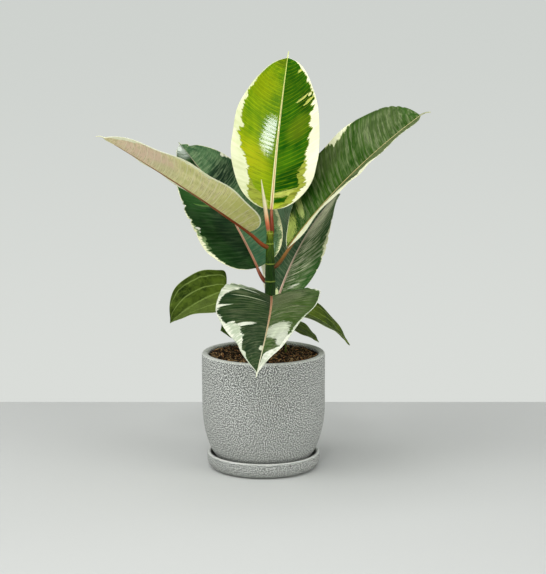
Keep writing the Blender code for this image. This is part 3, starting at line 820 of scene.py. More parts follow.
def blade_grid(leaf, look, seed):
    """For each point: shares s along and t across, the share q where its vein starts, and the width."""
    u = np.linspace(0, 1, BLADE_ROWS)
    q = u - 0.5 * np.sin(2 * pi * u) / (2 * pi)
    tip_share = leaf["tip"] / leaf["length"]
    q = np.concatenate([q, 1 + tip_share * np.linspace(0, 1, TIP_ROWS + 1)[1:]])
    half = np.linspace(0, 1, HALF_COLUMNS + 1) ** 1.25
    t = np.concatenate([-half[:0:-1], half])
    q, t = np.meshgrid(q, t, indexing="ij")
    s = q + look.get("sweep", VEIN_SWEEP) * np.sin(pi * unit(q)) * np.abs(t) ** 1.3
    width = by_half(t, lambda side: half_width(leaf, s, side))
    uneven = np.where(t >= 0, wandering(s[:, :1], seed, 9), wandering(s[:, :1], seed + 50, 9))
    width = width * (1 + EDGE_UNEVEN * uneven)
    for side, place, spread, depth in look.get("bites", []):
        bitten = np.maximum(width - depth * bell(s - place, spread), LEAST_HALF)
        width = np.where((t >= 0) == (side == "left"), bitten, width)
    return s, q, t, width


def add_blade(name, leaf, look, finishes, seed):
    s, q, t, width = blade_grid(leaf, look, seed)
    across = np.abs(t)
    points, up = blade_surface(leaf, s, t, width)
    vein = q * look["veins"] + 0.35 * wandering(q[:, :1], seed + 9, 6) + np.where(t >= 0, 0.0, HALVES_APART)
    away = np.abs(vein - np.round(vein))
    fade = unit(across * 6) * unit((1 - across) * 5) * unit((1 - q) * 12) * unit(q * 12)
    swelling = SWELL_HEIGHT * look["swell"] * np.sin(pi * away) ** 0.8
    sinking = VEIN_DEPTH * look.get("depth", 1) * bell(away, VEIN_HALF)
    groove = RIB_GROOVE * bell(t * width, RIB_GROOVE_HALF) * unit((1.02 - q) * 3)
    relief = (swelling - sinking) * fade - groove
    relief = relief + look.get("bulge", 0) * 4 * across * (1 - across) * unit((1 - q) * 4) * unit(q * 6)
    for side, place, spread, height, waves in look.get("ruffles", []):
        ruffle = height * np.exp(-(((q - place) / spread) ** 4)) * across**4
        ruffle = ruffle * np.sin(2 * pi * waves * q + seed)
        relief = relief + np.where((t >= 0) == (side == "left"), ruffle, 0)
    thickness = EDGE_THICKNESS + (BLADE_THICKNESS - EDGE_THICKNESS) * (1 - across**2)
    upper = points + up * relief[..., None]
    lower = points + up * (relief * 0.8 - thickness)[..., None]
    places = np.stack([t, vein / look["veins"]], -1)
    node = "blade_" + name.removeprefix("leaf_")
    piece = sheet(name, upper, lower, places, finishes, replaces=[node], slot=look["slot"])
    millimetres = np.stack([np.abs(t * width) * 1000, (1 - across) * width * 1000], -1).reshape(-1, 2)
    add_layer(piece.data, "reach", np.concatenate([millimetres] * 2))


# %% [markdown]
# Variegation
#
# A variegated leaf is made of layers of cells, and where the green layer fails the cream one shows. The
# border between them is jagged because it jumps from vein to vein. So the border is a curve given by a few
# stops from base to tip, one for each half, moved by a random step at each vein and by noise that is fine
# along the leaf and coarse across it. Outside it a zone of paler green may lie, up to a second curve.
# Patches are ovals in the same terms with the same ragged edge, and washes are ovals without an edge. The
# top leaf also has a waxy spot beside its midrib, where a clear coat mirrors the strip of light.

# %% Leaf finishes
CREAM, CREAM_DEEP = srgb(246, 246, 214), srgb(236, 238, 196)


def side_ramp(q, left, sides):
    """A value along the leaf: a ramp with stops of (place, value) for each half, or one number for all."""
    if not isinstance(sides, dict):
        return sides
    over = {}
    for side, stops in sides.items():
        over[side] = ramp(q, [(place, (value, value, value)) for place, value in stops])
    return over["right"] * (1 - left) + over["left"] * left


def oval(q, a, q0, a0, q_spread, a_spread):
    """0 in the middle of an oval on the leaf and 1 on its outline."""
    along_leaf, over = (q - q0) * (1 / q_spread), (a - a0) * (1 / a_spread)
    return along_leaf * along_leaf + over * over


def leaf_finish(name, look, seed, under=False):
    """One side of a leaf's skin, painted from the leaf's own look. Later layers cover the earlier ones."""
    face = {**look, **look["under"]} if under else look
    finish = Finish(name, Specular_IOR_Level=0.06, Coat_Roughness=0.11)
    t, q = finish.layer("place")
    from_rib, from_edge = finish.layer("reach")
    a, left = abs(t), t > 0
    halves = {"left": left, "right": 1 - left}
    half_seed = left * 5.3 + seed
    streak = grain(triple(finish, q, a * 0.030, half_seed), 75, 3)
    thread = grain(triple(finish, q, a * 0.012, half_seed + 2.1), 300)
    blot = grain(triple(finish, q, a * 0.5, half_seed + 4.4), 9)
    vein_share = q * look["veins"]
    band = vein_share.maths("FLOOR", vein_share * 0.9 + thread * 0.35 + left * 70)
    tooth = finish.node("ShaderNodeTexWhiteNoise", {"noise_dimensions": "1D"}, W=band)
    ragged = sway(streak, 0.20) + sway(thread, 0.10) + sway(blot, 0.12) + sway(tooth, look["teeth"])
    near_vein = vein_share.maths("PINGPONG", vein_share, 0.5)
    line = look["veins"] / 40
    vein = fall(near_vein, 0.03 * line, 0.14 * line) * rise(from_rib, 1.0, 4.0)
    vein = vein * rise(thread + blot * 0.4, 0.45, 0.85)

    # the green body, its washes and the pale lines beside and between the veins, partly painted sheen and
    # shade
    mottled = rise(streak * 0.5 + blot * 0.6, 0.38, 0.72)
    colour = mix(left, mix(mottled, *face["right"]), mix(mottled, *face["left"]))
    for side, *place, tint, strength in face.get("washes", []):
        inside = fall(oval(q, a, *place) + sway(streak, 0.9), 0.0, 1.0)
        colour = mix(inside * halves[side] * strength, colour, tint)
    # bands on the ridges between the veins, in the stripe colour: painted sheen
    ridge = rise(near_vein, 0.10, 0.42) * rise(blot + streak * 0.4, 0.50, 0.90)
    colour = mix(ridge * side_ramp(q, left, face.get("ridge", 0.0)), colour, face["stripe"])
    # fine stripes in the stripe colour: the leaf's own streaks, partly painted sheen on some leaves
    stripes = rise(streak + sway(thread, 0.5), 0.48, 0.62) * fall(a, *face.get("stripe_reach", (0.6, 1.0)))
    colour = mix(stripes * side_ramp(q, left, face["stripes"]), colour, face["stripe"])
    dark = rise(streak * 0.4 + thread * 0.8, 0.62, 0.74)
    colour = mix(dark * face["dark_strength"], colour, face["dark"])
    colour = mix(vein * side_ramp(q, left, face["vein_strength"]), colour, face["vein"])

    # patches with ragged edges
    clouded = rise(blot * 0.5 + streak * 0.5, 0.40, 0.60)
    for side, *place, tint in face.get("patches", []):
        outside = oval(q, a, *place) + ragged * 4.5 + sway(thread, look.get("fray", 4.0))
        lighter = tuple(min(1, c * 1.12) for c in tint)
        patch_tint = mix(clouded, tuple(c * 0.86 for c in tint), lighter)
        colour = mix(fall(outside, 0.92, 1.08) * halves[side], colour, patch_tint)

    # the paler zone past the green, then the cream margin
    past = a - side_ramp(q, left, look["limits"]) + ragged
    deep_pale = tuple(c * 0.55 for c in face["pale"])
    pale_tint = mix(rise(streak * 0.6 + thread * 0.4, 0.46, 0.60), face["pale"], deep_pale)
    colour = mix(rise(past, -0.006, 0.006), colour, pale_tint)
    beyond = past - look["pale_width"] * (0.4 + blot * 1.2)
    if "outer" in look:
        zone = a - side_ramp(q, left, look["outer"]) + sway(thread, 0.16)
        beyond = beyond.maths("MINIMUM", beyond, zone + sway(tooth, 0.10) + sway(streak, 0.2))
    cream = rise(beyond, -0.007, 0.007)
    edge_width = face.get("edge_width", 0.85)
    edge = fall(from_edge + sway(thread, 0.5), edge_width - 0.2, edge_width + 0.2)
    edge = edge * side_ramp(q, left, look.get("edge", 0.9))
    cream_all = cream + (1 - cream) * edge
    deeper = rise(streak * 0.6 + blot * 0.4, 0.42, 0.62)
    pairs = [face.get("cream", {}).get(side, (CREAM, CREAM_DEEP)) for side in ("right", "left")]
    colour = mix(cream_all, colour, mix(left, *(mix(deeper, *pair) for pair in pairs)))

    # the midrib, the skin's relief and the wax
    rib = fall(from_rib - (1 - 0.8 * q) * look.get("rib_half", 1.5), -0.25, 0.25)
    colour = mix(rib, colour, ramp(q, face["rib"]))
    if "rib_core" in look:
        colour = mix(fall(from_rib, 0.2, 0.8) * (1 - q) * 0.95, colour, look["rib_core"])
    fine = grain(triple(finish, q, a * 0.3, half_seed + 8.0), 420)
    relief = fine * 0.25 + thread * 0.5 - vein * (0.7 if not under else -1.0)
    roughness = face["roughness"] + sway(streak, 0.15) + cream_all * 0.05
    if "polish" in look and not under:
        *place, weight = look["polish"]
        waxed = fall(oval(q, a, *place) + sway(thread, 0.5), 0.20, 1.0)
        finish.feed(finish.shader.inputs["Coat Weight"], waxed * left * (1 - vein * 0.8) * weight)
    return finish.show(colour, roughness, bump(relief, look.get("texture", 0.4), 0.00028))


# %% [markdown]
# The six leaves' colours
#
# The top leaf is the youngest: bright yellow-green, with the widest cream margin. The older ones are dark
# or grey-green, with cream in blotches and thin lines. Colours are written as a screen shows them, and
# left, right and cream hold two of each between which the surface wanders. limits gives, for each half, how
# far across the green reaches at a few places from base to tip, and outer how far the paler zone does.
# patches are (half, place along, place across, spreads, colour), and washes have a strength as well.
#
# stripes, ridge and vein_strength tell how strongly three kinds of lines show along the leaf:
# fine stripes, bands on the ridges between the veins and the veins. The first two take the colour
# stripe: the bands are painted sheen, and on some of the older leaves the stripes are partly
# painted sheen too. stripe_reach is where the stripes fade out across it. edge is the strength of the cream
# line along the very edge, and edge_width its width. rib_half is the midrib's half width, both in
# millimetres, and rib_core the darker line down the midrib's middle. teeth and fray say how ragged the
# borders and the patches are. veins, sweep, swell, depth, bulge, bites and ruffles shape the mesh, and
# texture the fine relief. polish is the waxy spot: its place, its spreads and its strength.

# %% Leaf looks
OLIVE, PALE_OLIVE, GREY_CREAM = (160, 170, 60), (190, 198, 92), (214, 217, 190)
PINK_RIB, TAN_RIB, CREAM_RIB = (184, 148, 128), (190, 180, 140), (226, 224, 160)
UNDER = dict(
    left=((132, 150, 104), (150, 164, 118)), right=((132, 150, 104), (150, 164, 118)),
    stripe=(168, 180, 138), stripes=0.3, vein=(178, 186, 142), vein_strength=0.6, pale=(172, 180, 132),
    roughness=0.5, patches=[], washes=[], ridge=0.0, dark_strength=0.0,
)
LOOKS = {
    "top": dict(
        slot="young_leaf", veins=38, swell=0.12, depth=0.4, sweep=0.16, bulge=0.0015, pale_width=0.02,
        teeth=0.10, roughness=0.42, polish=(0.46, 0.08, 0.16, 0.44, 0.75), texture=0.2,
        # the right half's darker greens are partly its own colour and partly painted shade, as that half is
        # turned from the light
        left=((82, 124, 2), (124, 150, 4)), right=((14, 74, 2), (46, 102, 4)), stripe=(146, 172, 12),
        stripes=dict(left=[(0, 0.3), (1, 0.25)], right=[(0, 0.08), (0.5, 0.12), (1, 0.08)]),
        vein=(172, 194, 10), vein_strength=dict(left=[(0, 0.6), (1, 0.4)], right=[(0, 0.3), (1, 0.25)]),
        pale=OLIVE, dark=(28, 80, 2), dark_strength=0.45,
        cream=dict(left=((226, 229, 190), (212, 218, 168))), rib_half=2.1, rib_core=(132, 122, 44),
        limits=dict(
            left=[
                (0, 0.20), (0.05, 0.28), (0.085, 0.40), (0.12, 0.60), (0.18, 0.66), (0.27, 0.65),
                (0.30, 0.76), (0.37, 0.88), (0.43, 0.80), (0.455, 0.90), (0.52, 0.87), (0.57, 0.85),
                (0.63, 0.93), (0.75, 0.94), (0.90, 0.96), (1, 0.94),
            ],
            right=[
                (0, 0.30), (0.05, 0.55), (0.10, 0.62), (0.14, 0.66), (0.22, 0.62), (0.28, 0.72),
                (0.36, 0.72), (0.41, 0.80), (0.50, 0.80), (0.57, 0.90), (0.63, 0.93), (0.76, 0.90),
                (0.86, 0.86), (0.93, 0.90), (1, 0.90),
            ],
        ),
        outer=dict(
            left=[(0, 0.90), (0.05, 0.86), (0.10, 0.78), (0.14, 0.70), (0.18, 0.60), (0.30, 0), (1, 0)],
            right=[(0, 0.90), (0.08, 0.86), (0.15, 0.82), (0.22, 0.78), (0.27, 0.74), (0.32, 0), (1, 0)],
        ),
        washes=[
            ("left", 0.26, 0.60, 0.16, 0.60, (168, 172, 4), 0.9),
            ("left", 0.12, 0.30, 0.16, 0.45, (138, 164, 4), 0.6),
            ("left", 0.76, 0.60, 0.16, 0.60, (132, 146, 2), 0.7),
            ("left", 0.55, 0.10, 0.30, 0.30, (72, 116, 2), 0.6),
            ("right", 0.30, 0.20, 0.10, 0.45, (76, 128, 8), 0.5),
            ("right", 0.48, 0.50, 0.10, 0.40, (104, 124, 14), 0.6),
            ("right", 0.80, 0.40, 0.20, 0.60, (40, 84, 2), 0.7),
            ("right", 0.20, 0.45, 0.09, 0.45, (8, 62, 2), 0.8),
            ("right", 0.62, 0.75, 0.10, 0.35, (24, 56, 2), 0.8),
            ("left", 0.97, 0.40, 0.06, 0.80, (84, 104, 4), 0.8),
        ],
        patches=[
            ("right", 0.025, 0.40, 0.022, 0.55, (178, 194, 50)),
            ("right", 0.100, 0.42, 0.018, 0.48, PALE_OLIVE),
            ("right", 0.655, 0.64, 0.008, 0.17, (196, 200, 104)),
            ("right", 0.605, 0.80, 0.010, 0.14, (186, 192, 90)),
            ("right", 0.640, 0.86, 0.010, 0.06, (220, 220, 150)),
            ("right", 0.870, 0.76, 0.014, 0.14, (190, 196, 96)),
            ("left", 0.045, 0.58, 0.030, 0.34, PALE_OLIVE),
        ],
        rib=[(0.0, (216, 176, 130)), (0.05, (240, 232, 180)), (0.45, CREAM_RIB), (1.0, (206, 216, 110))],
        under=UNDER,
    ),
    "left": dict(
        slot="variegated_leaf", veins=24, swell=0.8, pale_width=0.02, teeth=0.05, roughness=0.34,
        left=((52, 84, 44), (76, 108, 62)), right=((52, 84, 44), (76, 108, 62)), stripe=(118, 138, 108),
        stripes=0.4, vein=(112, 140, 92), vein_strength=0.3, pale=(128, 152, 104), dark=(20, 40, 18),
        dark_strength=0.25,
        limits=dict(
            left=[
                (0, 0.94), (0.10, 0.97), (0.30, 0.98), (0.38, 0.93), (0.50, 0.89), (0.60, 0.96),
                (0.78, 0.97), (0.84, 0.78), (0.92, 0.66), (1, 0.60),
            ],
            right=[
                (0, 0.88), (0.25, 0.86), (0.36, 0.55), (0.50, 0.45), (0.65, 0.55), (0.80, 0.80), (1, 0.80),
            ],
        ),
        edge=1.0, rib=[(0.0, PINK_RIB), (1.0, TAN_RIB)],
        under=dict(
            UNDER, left=((214, 212, 138), (246, 238, 178)), right=((214, 212, 138), (246, 238, 178)),
            washes=[
                ("left", 0.10, 0.50, 0.30, 0.80, (208, 208, 114), 0.6),
                ("left", 0.78, 0.45, 0.28, 0.90, (235, 206, 180), 0.9),
                ("left", 0.30, 0.25, 0.22, 0.40, (216, 212, 138), 0.5),
                ("left", 0.62, 0.20, 0.14, 0.30, (214, 215, 152), 0.6),
            ],
            stripe=(244, 228, 187), stripes=0.35, vein=(248, 244, 206), vein_strength=0.65, edge_width=2.1,
            pale=(250, 242, 187), dark=(158, 150, 88), dark_strength=0.55,
        ),
    ),
    "rear_left": dict(
        slot="variegated_leaf", veins=42, swell=0.6, pale_width=0.012, teeth=0.05, roughness=0.34,
        # its right half's teal-grey greens and stripes are partly painted sheen
        left=((20, 46, 18), (34, 66, 28)), right=((54, 86, 56), (98, 130, 86)), stripe=(136, 156, 116),
        stripes=dict(left=[(0, 0.05), (0.45, 0.10), (1, 0.2)], right=[(0, 0.1), (0.5, 0.45), (1, 0.45)]),
        vein=(56, 86, 50), vein_strength=0.45, cream=dict(right=((236, 234, 184), (196, 206, 150))),
        pale=(128, 154, 104), dark=(12, 28, 12), dark_strength=0.5,
        limits=dict(
            left=[
                (0, 0.95), (0.10, 0.95), (0.16, 0.90), (0.22, 0.87), (0.28, 0.93), (0.36, 0.97),
                (0.42, 1.02), (0.60, 1.0), (0.85, 0.99), (1, 0.94),
            ],
            right=[
                (0, 0.86), (0.16, 0.84), (0.21, 0.82), (0.28, 0.90), (0.40, 0.97), (0.60, 0.98),
                (0.85, 0.99), (1, 0.96),
            ],
        ),
        outer=dict(
            left=[(0, 0.97), (0.12, 0.965), (0.30, 0.965), (0.36, 0.98), (0.42, 0), (1, 0)],
            right=[(0, 0.95), (0.25, 0.95), (0.40, 0), (1, 0)],
        ),
        edge=dict(
            left=[
                (0, 1), (0.30, 1), (0.36, 0.6), (0.44, 0.2), (0.47, 0.7), (0.6, 0.6), (0.66, 0.2), (1, 0.3),
            ],
            right=[(0, 0.9), (0.5, 0.6), (0.7, 0.4), (1, 0.5)],
        ),
        washes=[
            ("left", 0.60, 0.60, 0.22, 0.60, (44, 84, 34), 0.7),
            ("left", 0.30, 0.25, 0.30, 0.30, (26, 44, 28), 0.7),
            ("left", 0.395, 0.86, 0.05, 0.16, (44, 70, 36), 0.6),
            ("right", 0.10, 0.30, 0.20, 0.60, (58, 102, 72), 0.8),
            # the silvery grey at the tip: painted sheen
            ("left", 0.94, 0.45, 0.09, 0.80, (172, 182, 168), 0.9),
            # the near-black wash on the right half: painted shadow of the top leaf
            ("right", 0.64, 0.40, 0.13, 0.80, (18, 36, 24), 0.9),
        ],
        patches=[
            # thin light green lines under the edge of the left leaf: partly the leaf's own colour, partly
            # painted highlight
            ("left", 0.462, 0.50, 0.006, 0.20, (84, 120, 58)),
            ("left", 0.480, 0.36, 0.005, 0.12, (84, 120, 58)),
            # two small white glints near the left edge: painted highlight
            ("left", 0.285, 0.90, 0.010, 0.05, (226, 232, 216)),
            ("left", 0.262, 0.93, 0.008, 0.03, (226, 232, 216)),
            ("right", 0.720, 0.94, 0.016, 0.07, GREY_CREAM),
            ("right", 0.685, 0.97, 0.012, 0.04, GREY_CREAM),
            ("right", 0.075, 0.66, 0.030, 0.10, (148, 178, 148)),
            # the silvery grey at the tip: painted sheen
            ("left", 0.965, 0.60, 0.030, 0.36, (206, 214, 204)),
        ],
        bites=[
            ("left", 0.450, 0.012, 0.0032), ("left", 0.560, 0.010, 0.0035), ("left", 0.590, 0.008, 0.0020),
            ("right", 0.965, 0.010, 0.0050), ("left", 0.345, 0.010, 0.0014),
        ],
        rib=[(0.0, (166, 100, 66)), (0.12, (194, 148, 120)), (0.5, PINK_RIB), (1.0, (120, 136, 112))],
        under=UNDER,
    ),
    "right": dict(
        slot="variegated_leaf", veins=34, swell=1.1, pale_width=0.012, teeth=0.05, roughness=0.32,
        # its grey-green stripes and ridge bands are painted sheen
        left=((36, 70, 12), (54, 88, 22)), right=((86, 100, 60), (106, 119, 73)), stripe=(128, 142, 98),
        stripes=dict(left=[(0, 0.2), (0.25, 0.45), (0.5, 0.75), (1, 0.75)], right=[(0, 0.4), (1, 0.4)]),
        stripe_reach=(0.70, 1.05),
        ridge=dict(left=[(0, 0.1), (0.3, 0.25), (0.5, 0.35), (1, 0.35)], right=[(0, 0.2), (1, 0.2)]),
        vein=(100, 128, 58), vein_strength=0.35, pale=(131, 148, 74), dark=(14, 36, 4), dark_strength=0.62,
        limits=dict(
            left=[
                (0, 0.80), (0.05, 1.02), (0.39, 1.02), (0.42, 0.95), (0.45, 0.89), (0.51, 0.90),
                (0.56, 0.97), (0.60, 1.02), (1, 1.03),
            ],
            right=[
                (0, 0.05), (0.12, 0.08), (0.26, 0.12), (0.34, 0.35), (0.40, 0.80), (0.47, 0.72),
                (0.52, 0.55), (0.56, 1.0), (1, 1.0),
            ],
        ),
        edge=dict(
            left=[
                (0, 0.9), (0.10, 0.4), (0.14, 0.0), (0.40, 0.0), (0.43, 1.0), (0.57, 1.0), (0.61, 0.1),
                (1, 0.1),
            ],
            right=[(0, 1.0), (0.5, 1.0), (0.6, 0.2), (1, 0.2)],
        ),
        washes=[
            ("left", 0.20, 0.50, 0.14, 0.60, (35, 75, 16), 0.7),
            ("left", 0.80, 0.60, 0.22, 0.60, (76, 92, 53), 0.6),
            ("left", 0.95, 0.60, 0.07, 0.60, (51, 88, 29), 0.8),
            ("left", 0.42, 0.75, 0.12, 0.40, (83, 97, 55), 0.5),
        ],
        patches=[
            ("left", 0.070, 0.64, 0.052, 0.42, (152, 168, 82)),
            ("left", 0.168, 0.62, 0.020, 0.36, (156, 172, 98)),
            ("right", 0.470, 0.55, 0.022, 0.30, (71, 83, 54)),
        ],
        bites=[
            ("left", 0.900, 0.006, 0.0012), ("left", 0.930, 0.006, 0.0018), ("left", 0.955, 0.005, 0.0014),
            ("left", 0.850, 0.005, 0.0008),
        ],
        rib=[(0.0, (124, 88, 39)), (0.12, (158, 144, 74)), (0.5, (186, 172, 120)), (1.0, (212, 202, 150))],
        under=UNDER,
    ),
    "rear_right": dict(
        slot="variegated_leaf", veins=30, sweep=0.29, swell=1.7, pale_width=0.012, teeth=0.05,
        roughness=0.32, left=((54, 82, 56), (82, 106, 76)), right=((50, 87, 36), (82, 114, 60)),
        # its silvery stripes and ridge bands are painted sheen
        stripe=(224, 228, 190),
        stripes=dict(
            left=[(0, 0.05), (0.5, 0.15), (1, 0.25)],
            right=[(0, 0.2), (0.12, 0.4), (0.2, 0.95), (0.62, 0.95), (0.8, 0.9), (1, 0.9)],
        ),
        stripe_reach=(0.45, 0.80),
        ridge=dict(left=[(0, 0), (1, 0)], right=[(0, 0.1), (0.3, 0.4), (1, 0.6)]), vein=(130, 159, 109),
        vein_strength=0.35, pale=(188, 206, 142), dark=(16, 38, 14), dark_strength=0.75,
        limits=dict(
            left=[(0, 0.60), (0.10, 0.80), (0.30, 0.90), (0.60, 0.97), (1, 0.98)],
            right=[
                (0, 1.02), (0.16, 1.02), (0.21, 0.96), (0.27, 0.92), (0.32, 0.93), (0.37, 1.02), (1, 1.02),
            ],
        ),
        edge=dict(
            left=[(0, 0.8), (0.5, 0.3), (1, 0.0)],
            right=[(0, 0.0), (0.15, 0.0), (0.19, 0.7), (0.37, 0.8), (0.41, 0.1), (1, 0.1)],
        ),
        washes=[
            ("right", 0.30, 0.90, 0.30, 0.30, (42, 87, 33), 0.8),
            # the broad silvery wash beside the midrib: painted sheen
            ("right", 0.70, 0.30, 0.26, 0.60, (202, 203, 170), 0.9),
            ("left", 0.55, 0.60, 0.25, 0.60, (94, 122, 92), 0.9),
            ("left", 0.15, 0.50, 0.20, 0.60, (62, 94, 62), 0.6),
        ],
        patches=[
            ("right", 0.100, 0.50, 0.0070, 0.17, (206, 212, 188)),
            ("right", 0.088, 0.42, 0.0050, 0.12, (196, 204, 176)),
            ("left", 0.045, 0.20, 0.030, 0.10, (232, 250, 183)),
            # two thin silvery streaks in that wash: painted sheen
            ("right", 0.620, 0.50, 0.010, 0.40, (220, 226, 187)),
            ("right", 0.700, 0.60, 0.010, 0.36, (228, 231, 194)),
        ],
        bites=[
            ("right", 0.330, 0.010, 0.0020), ("right", 0.430, 0.010, 0.0022),
            ("right", 0.500, 0.010, 0.0018), ("right", 0.640, 0.008, 0.0022),
        ],
        # the midrib's pale beige is partly its own colour and partly painted light, made paler where the
        # other leaves shade it
        rib=[(0.0, (236, 208, 186)), (0.4, (232, 214, 192)), (1.0, (200, 194, 178))], under=UNDER,
    ),
    "front": dict(
        slot="variegated_leaf", veins=34, swell=0.9, fray=2.0, pale_width=0.012, teeth=0.06, roughness=0.36,
        # its grey-green stripes are partly painted sheen
        left=((44, 72, 26), (80, 102, 54)), right=((28, 50, 26), (56, 76, 42)), stripe=(146, 152, 118),
        stripes=dict(left=[(0, 0.75), (0.35, 0.6), (1, 0.35)], right=[(0, 0.4), (0.4, 0.28), (1, 0.25)]),
        vein=(77, 97, 66), vein_strength=0.4, pale=(142, 156, 128), dark=(14, 32, 8), dark_strength=0.8,
        limits=dict(
            left=[
                (0, 0.98), (0.30, 1.0), (0.50, 1.0), (0.56, 0.95), (0.62, 0.93), (0.70, 0.80), (0.76, 0.84),
                (0.80, 0.62), (0.825, 0.30), (0.85, 0.08), (0.93, 0.05), (1, 0.0),
            ],
            right=[
                (0, 0.72), (0.08, 0.64), (0.16, 0.68), (0.22, 0.86), (0.27, 0.94), (0.315, 0.93),
                (0.33, 0.72), (0.345, 0.94), (0.42, 0.95), (0.50, 0.92), (0.53, 0.66), (0.60, 0.60),
                (0.67, 0.64), (0.71, 0.82), (0.76, 0.90), (0.80, 0.76), (0.83, 0.92), (1, 0.90),
            ],
        ),
        outer=dict(left=[(0, 0), (1, 0)], right=[(0, 1), (0.14, 0.98), (0.19, 0), (1, 0)]),
        washes=[
            # the pale grey-green wash beside the midrib near the base: painted sheen
            ("left", 0.22, 0.30, 0.20, 0.40, (99, 107, 75), 0.7),
            ("left", 0.45, 0.60, 0.25, 0.60, (64, 85, 37), 0.6),
            ("right", 0.72, 0.30, 0.22, 0.60, (38, 56, 34), 0.7),
            ("right", 0.02, 0.60, 0.08, 0.50, (70, 88, 52), 0.8),
        ],
        patches=[
            ("right", 0.545, 0.52, 0.016, 0.26, (206, 210, 192)),
            ("right", 0.510, 0.78, 0.012, 0.10, (206, 210, 192)),
            # a pale line along a vein: partly paler skin, partly painted highlight
            ("right", 0.245, 0.42, 0.0045, 0.34, (168, 178, 146)),
            ("right", 0.150, 0.62, 0.012, 0.30, (168, 178, 156)),
            ("left", 0.630, 0.38, 0.080, 0.42, (188, 196, 172)),
            ("left", 0.700, 0.72, 0.060, 0.26, (196, 202, 182)),
            ("right", 0.800, 0.06, 0.020, 0.10, (204, 208, 180)),
        ],
        ruffles=[("right", 0.12, 0.14, 0.0016, 24), ("left", 0.16, 0.10, 0.0010, 20)],
        cream=dict(left=((224, 226, 210), (184, 194, 168)), right=((222, 224, 206), (172, 184, 158))),
        rib=[
            (0.0, (176, 122, 94)), (0.45, (190, 154, 126)), (0.62, (206, 196, 160)), (1.0, (232, 232, 204)),
        ],
        under=UNDER,
    ),
}
for number, (name, look) in enumerate(LOOKS.items()):
    seed, look = 3 + 4 * number, linear(look)
    upper = leaf_finish("leaf_" + name, look, seed)
    lower = leaf_finish("leaf_" + name + "_under", look, seed, under=True)
    add_blade("leaf_" + name, LEAVES[name], look, [upper, lower], seed)
    print("leaf", name, "with", look["veins"], "side veins a half")

# %% [markdown]
# Stem, stalks and bud
#
# A leaf's stalk leaves the stem at a ring, bends up to the blade and runs on beneath it as the midrib. All
# of it is one tapering rod along one line. Each ring is the scar of the sheath that once wrapped the next
# leaf, and the newest sheath still stands at the top.

# %% Stem, stalks and sheath
STEM_TOP_Z, STEM_DEPTH = 0.2910, 0.0500
STEM_RADIUS_SOIL, STEM_RADIUS_TOP, STEM_TAPER = 0.0069, 0.0037, 3
STEM_RING, STEM_RING_HEIGHT = 0.0004, 0.0022
STALK_START_RADIUS, STALK_RADIUS, RIB_END_RADIUS, RIB_END = 0.0029, 0.0018, 0.0005, 0.93
STALK_STEPS, RIB_STEPS, STALK_SIDES = 26, 60, 20
STALK_ROOTED, STALK_FLARE, RIB_SUNK = 0.0012, 0.0006, 0.0006
STEM_ROWS, STEM_SIDES, STEM_WOBBLE = 260, 40, 0.03
RED_BROWN, DARK_RED = (136, 62, 26), (78, 30, 12)
STEM_COLOURS = [
    (0.0, (14, 36, 4)), (0.35, (20, 52, 2)), (0.72, (26, 58, 2)), (0.93, (72, 98, 2)), (1.0, (140, 146, 36)),
]


def bezier(points, share):
    a, b, c, d = (np.asarray(point, float) for point in points)
    share = np.asarray(share)[:, None]
    rest = 1 - share
    return a * rest**3 + b * 3 * share * rest**2 + c * 3 * share**2 * rest + d * share**3


def stem_radius(z):
    """The stem tapers from the soil to the top, and is a little thicker at each leaf's ring."""
    climb = max((z - SOIL_Z) / (STEM_TOP_Z - SOIL_Z), 0)
    plain = STEM_RADIUS_SOIL + (STEM_RADIUS_TOP - STEM_RADIUS_SOIL) * climb**STEM_TAPER
    near = min(abs(z - leaf["ring"]) for leaf in LEAVES.values())
    return plain + STEM_RING * bell(near, STEM_RING_HEIGHT / 2)


def stem_finish():
    finish = Finish("stem_skin", Specular_IOR_Level=0.2, Coat_Weight=0.05, Coat_Roughness=0.25)
    spot = finish.spot()
    x, y, z = finish.parts(spot)
    lengthwise = grain(triple(finish, x * 5, y * 5, z), 160, 3)
    specks = rise(grain(spot, 900), 0.60, 0.72)
    colour = ramp((z - SOIL_Z) * (1 / (STEM_TOP_Z - SOIL_Z)), linear(STEM_COLOURS))
    colour = mix(rise(lengthwise, 0.40, 0.64) * 0.7, colour, srgb(8, 28, 2))
    colour = mix(specks * 0.15, colour, srgb(96, 118, 36))
    for leaf in LEAVES.values():
        near = abs(z + sway(lengthwise, 0.0012) - (leaf["ring"] + 0.0006))
        colour = mix(fall(near, 0.0003, 0.0010) * 0.55, colour, srgb(140, 158, 66))
    return finish.show(colour, 0.38 + lengthwise * 0.15, bump(lengthwise + specks * 0.4, 0.4, 0.0003))


def stalk_finish(name, stops, roughness=0.38):
    """stops give the colour along the rod: the stalk takes the first third, the midrib the rest."""
    finish = Finish(name, Specular_IOR_Level=0.25, Coat_Weight=0.1, Coat_Roughness=0.25)
    around, share = finish.layer("place")
    lengthwise = grain(triple(finish, around * 6, share * 3, 0.3), 4, 3)
    colour = mix(rise(lengthwise, 0.45, 0.75) * 0.45, ramp(share, linear(stops)), srgb(*DARK_RED))
    return finish.show(colour, roughness, bump(lengthwise, 0.4, 0.0003))


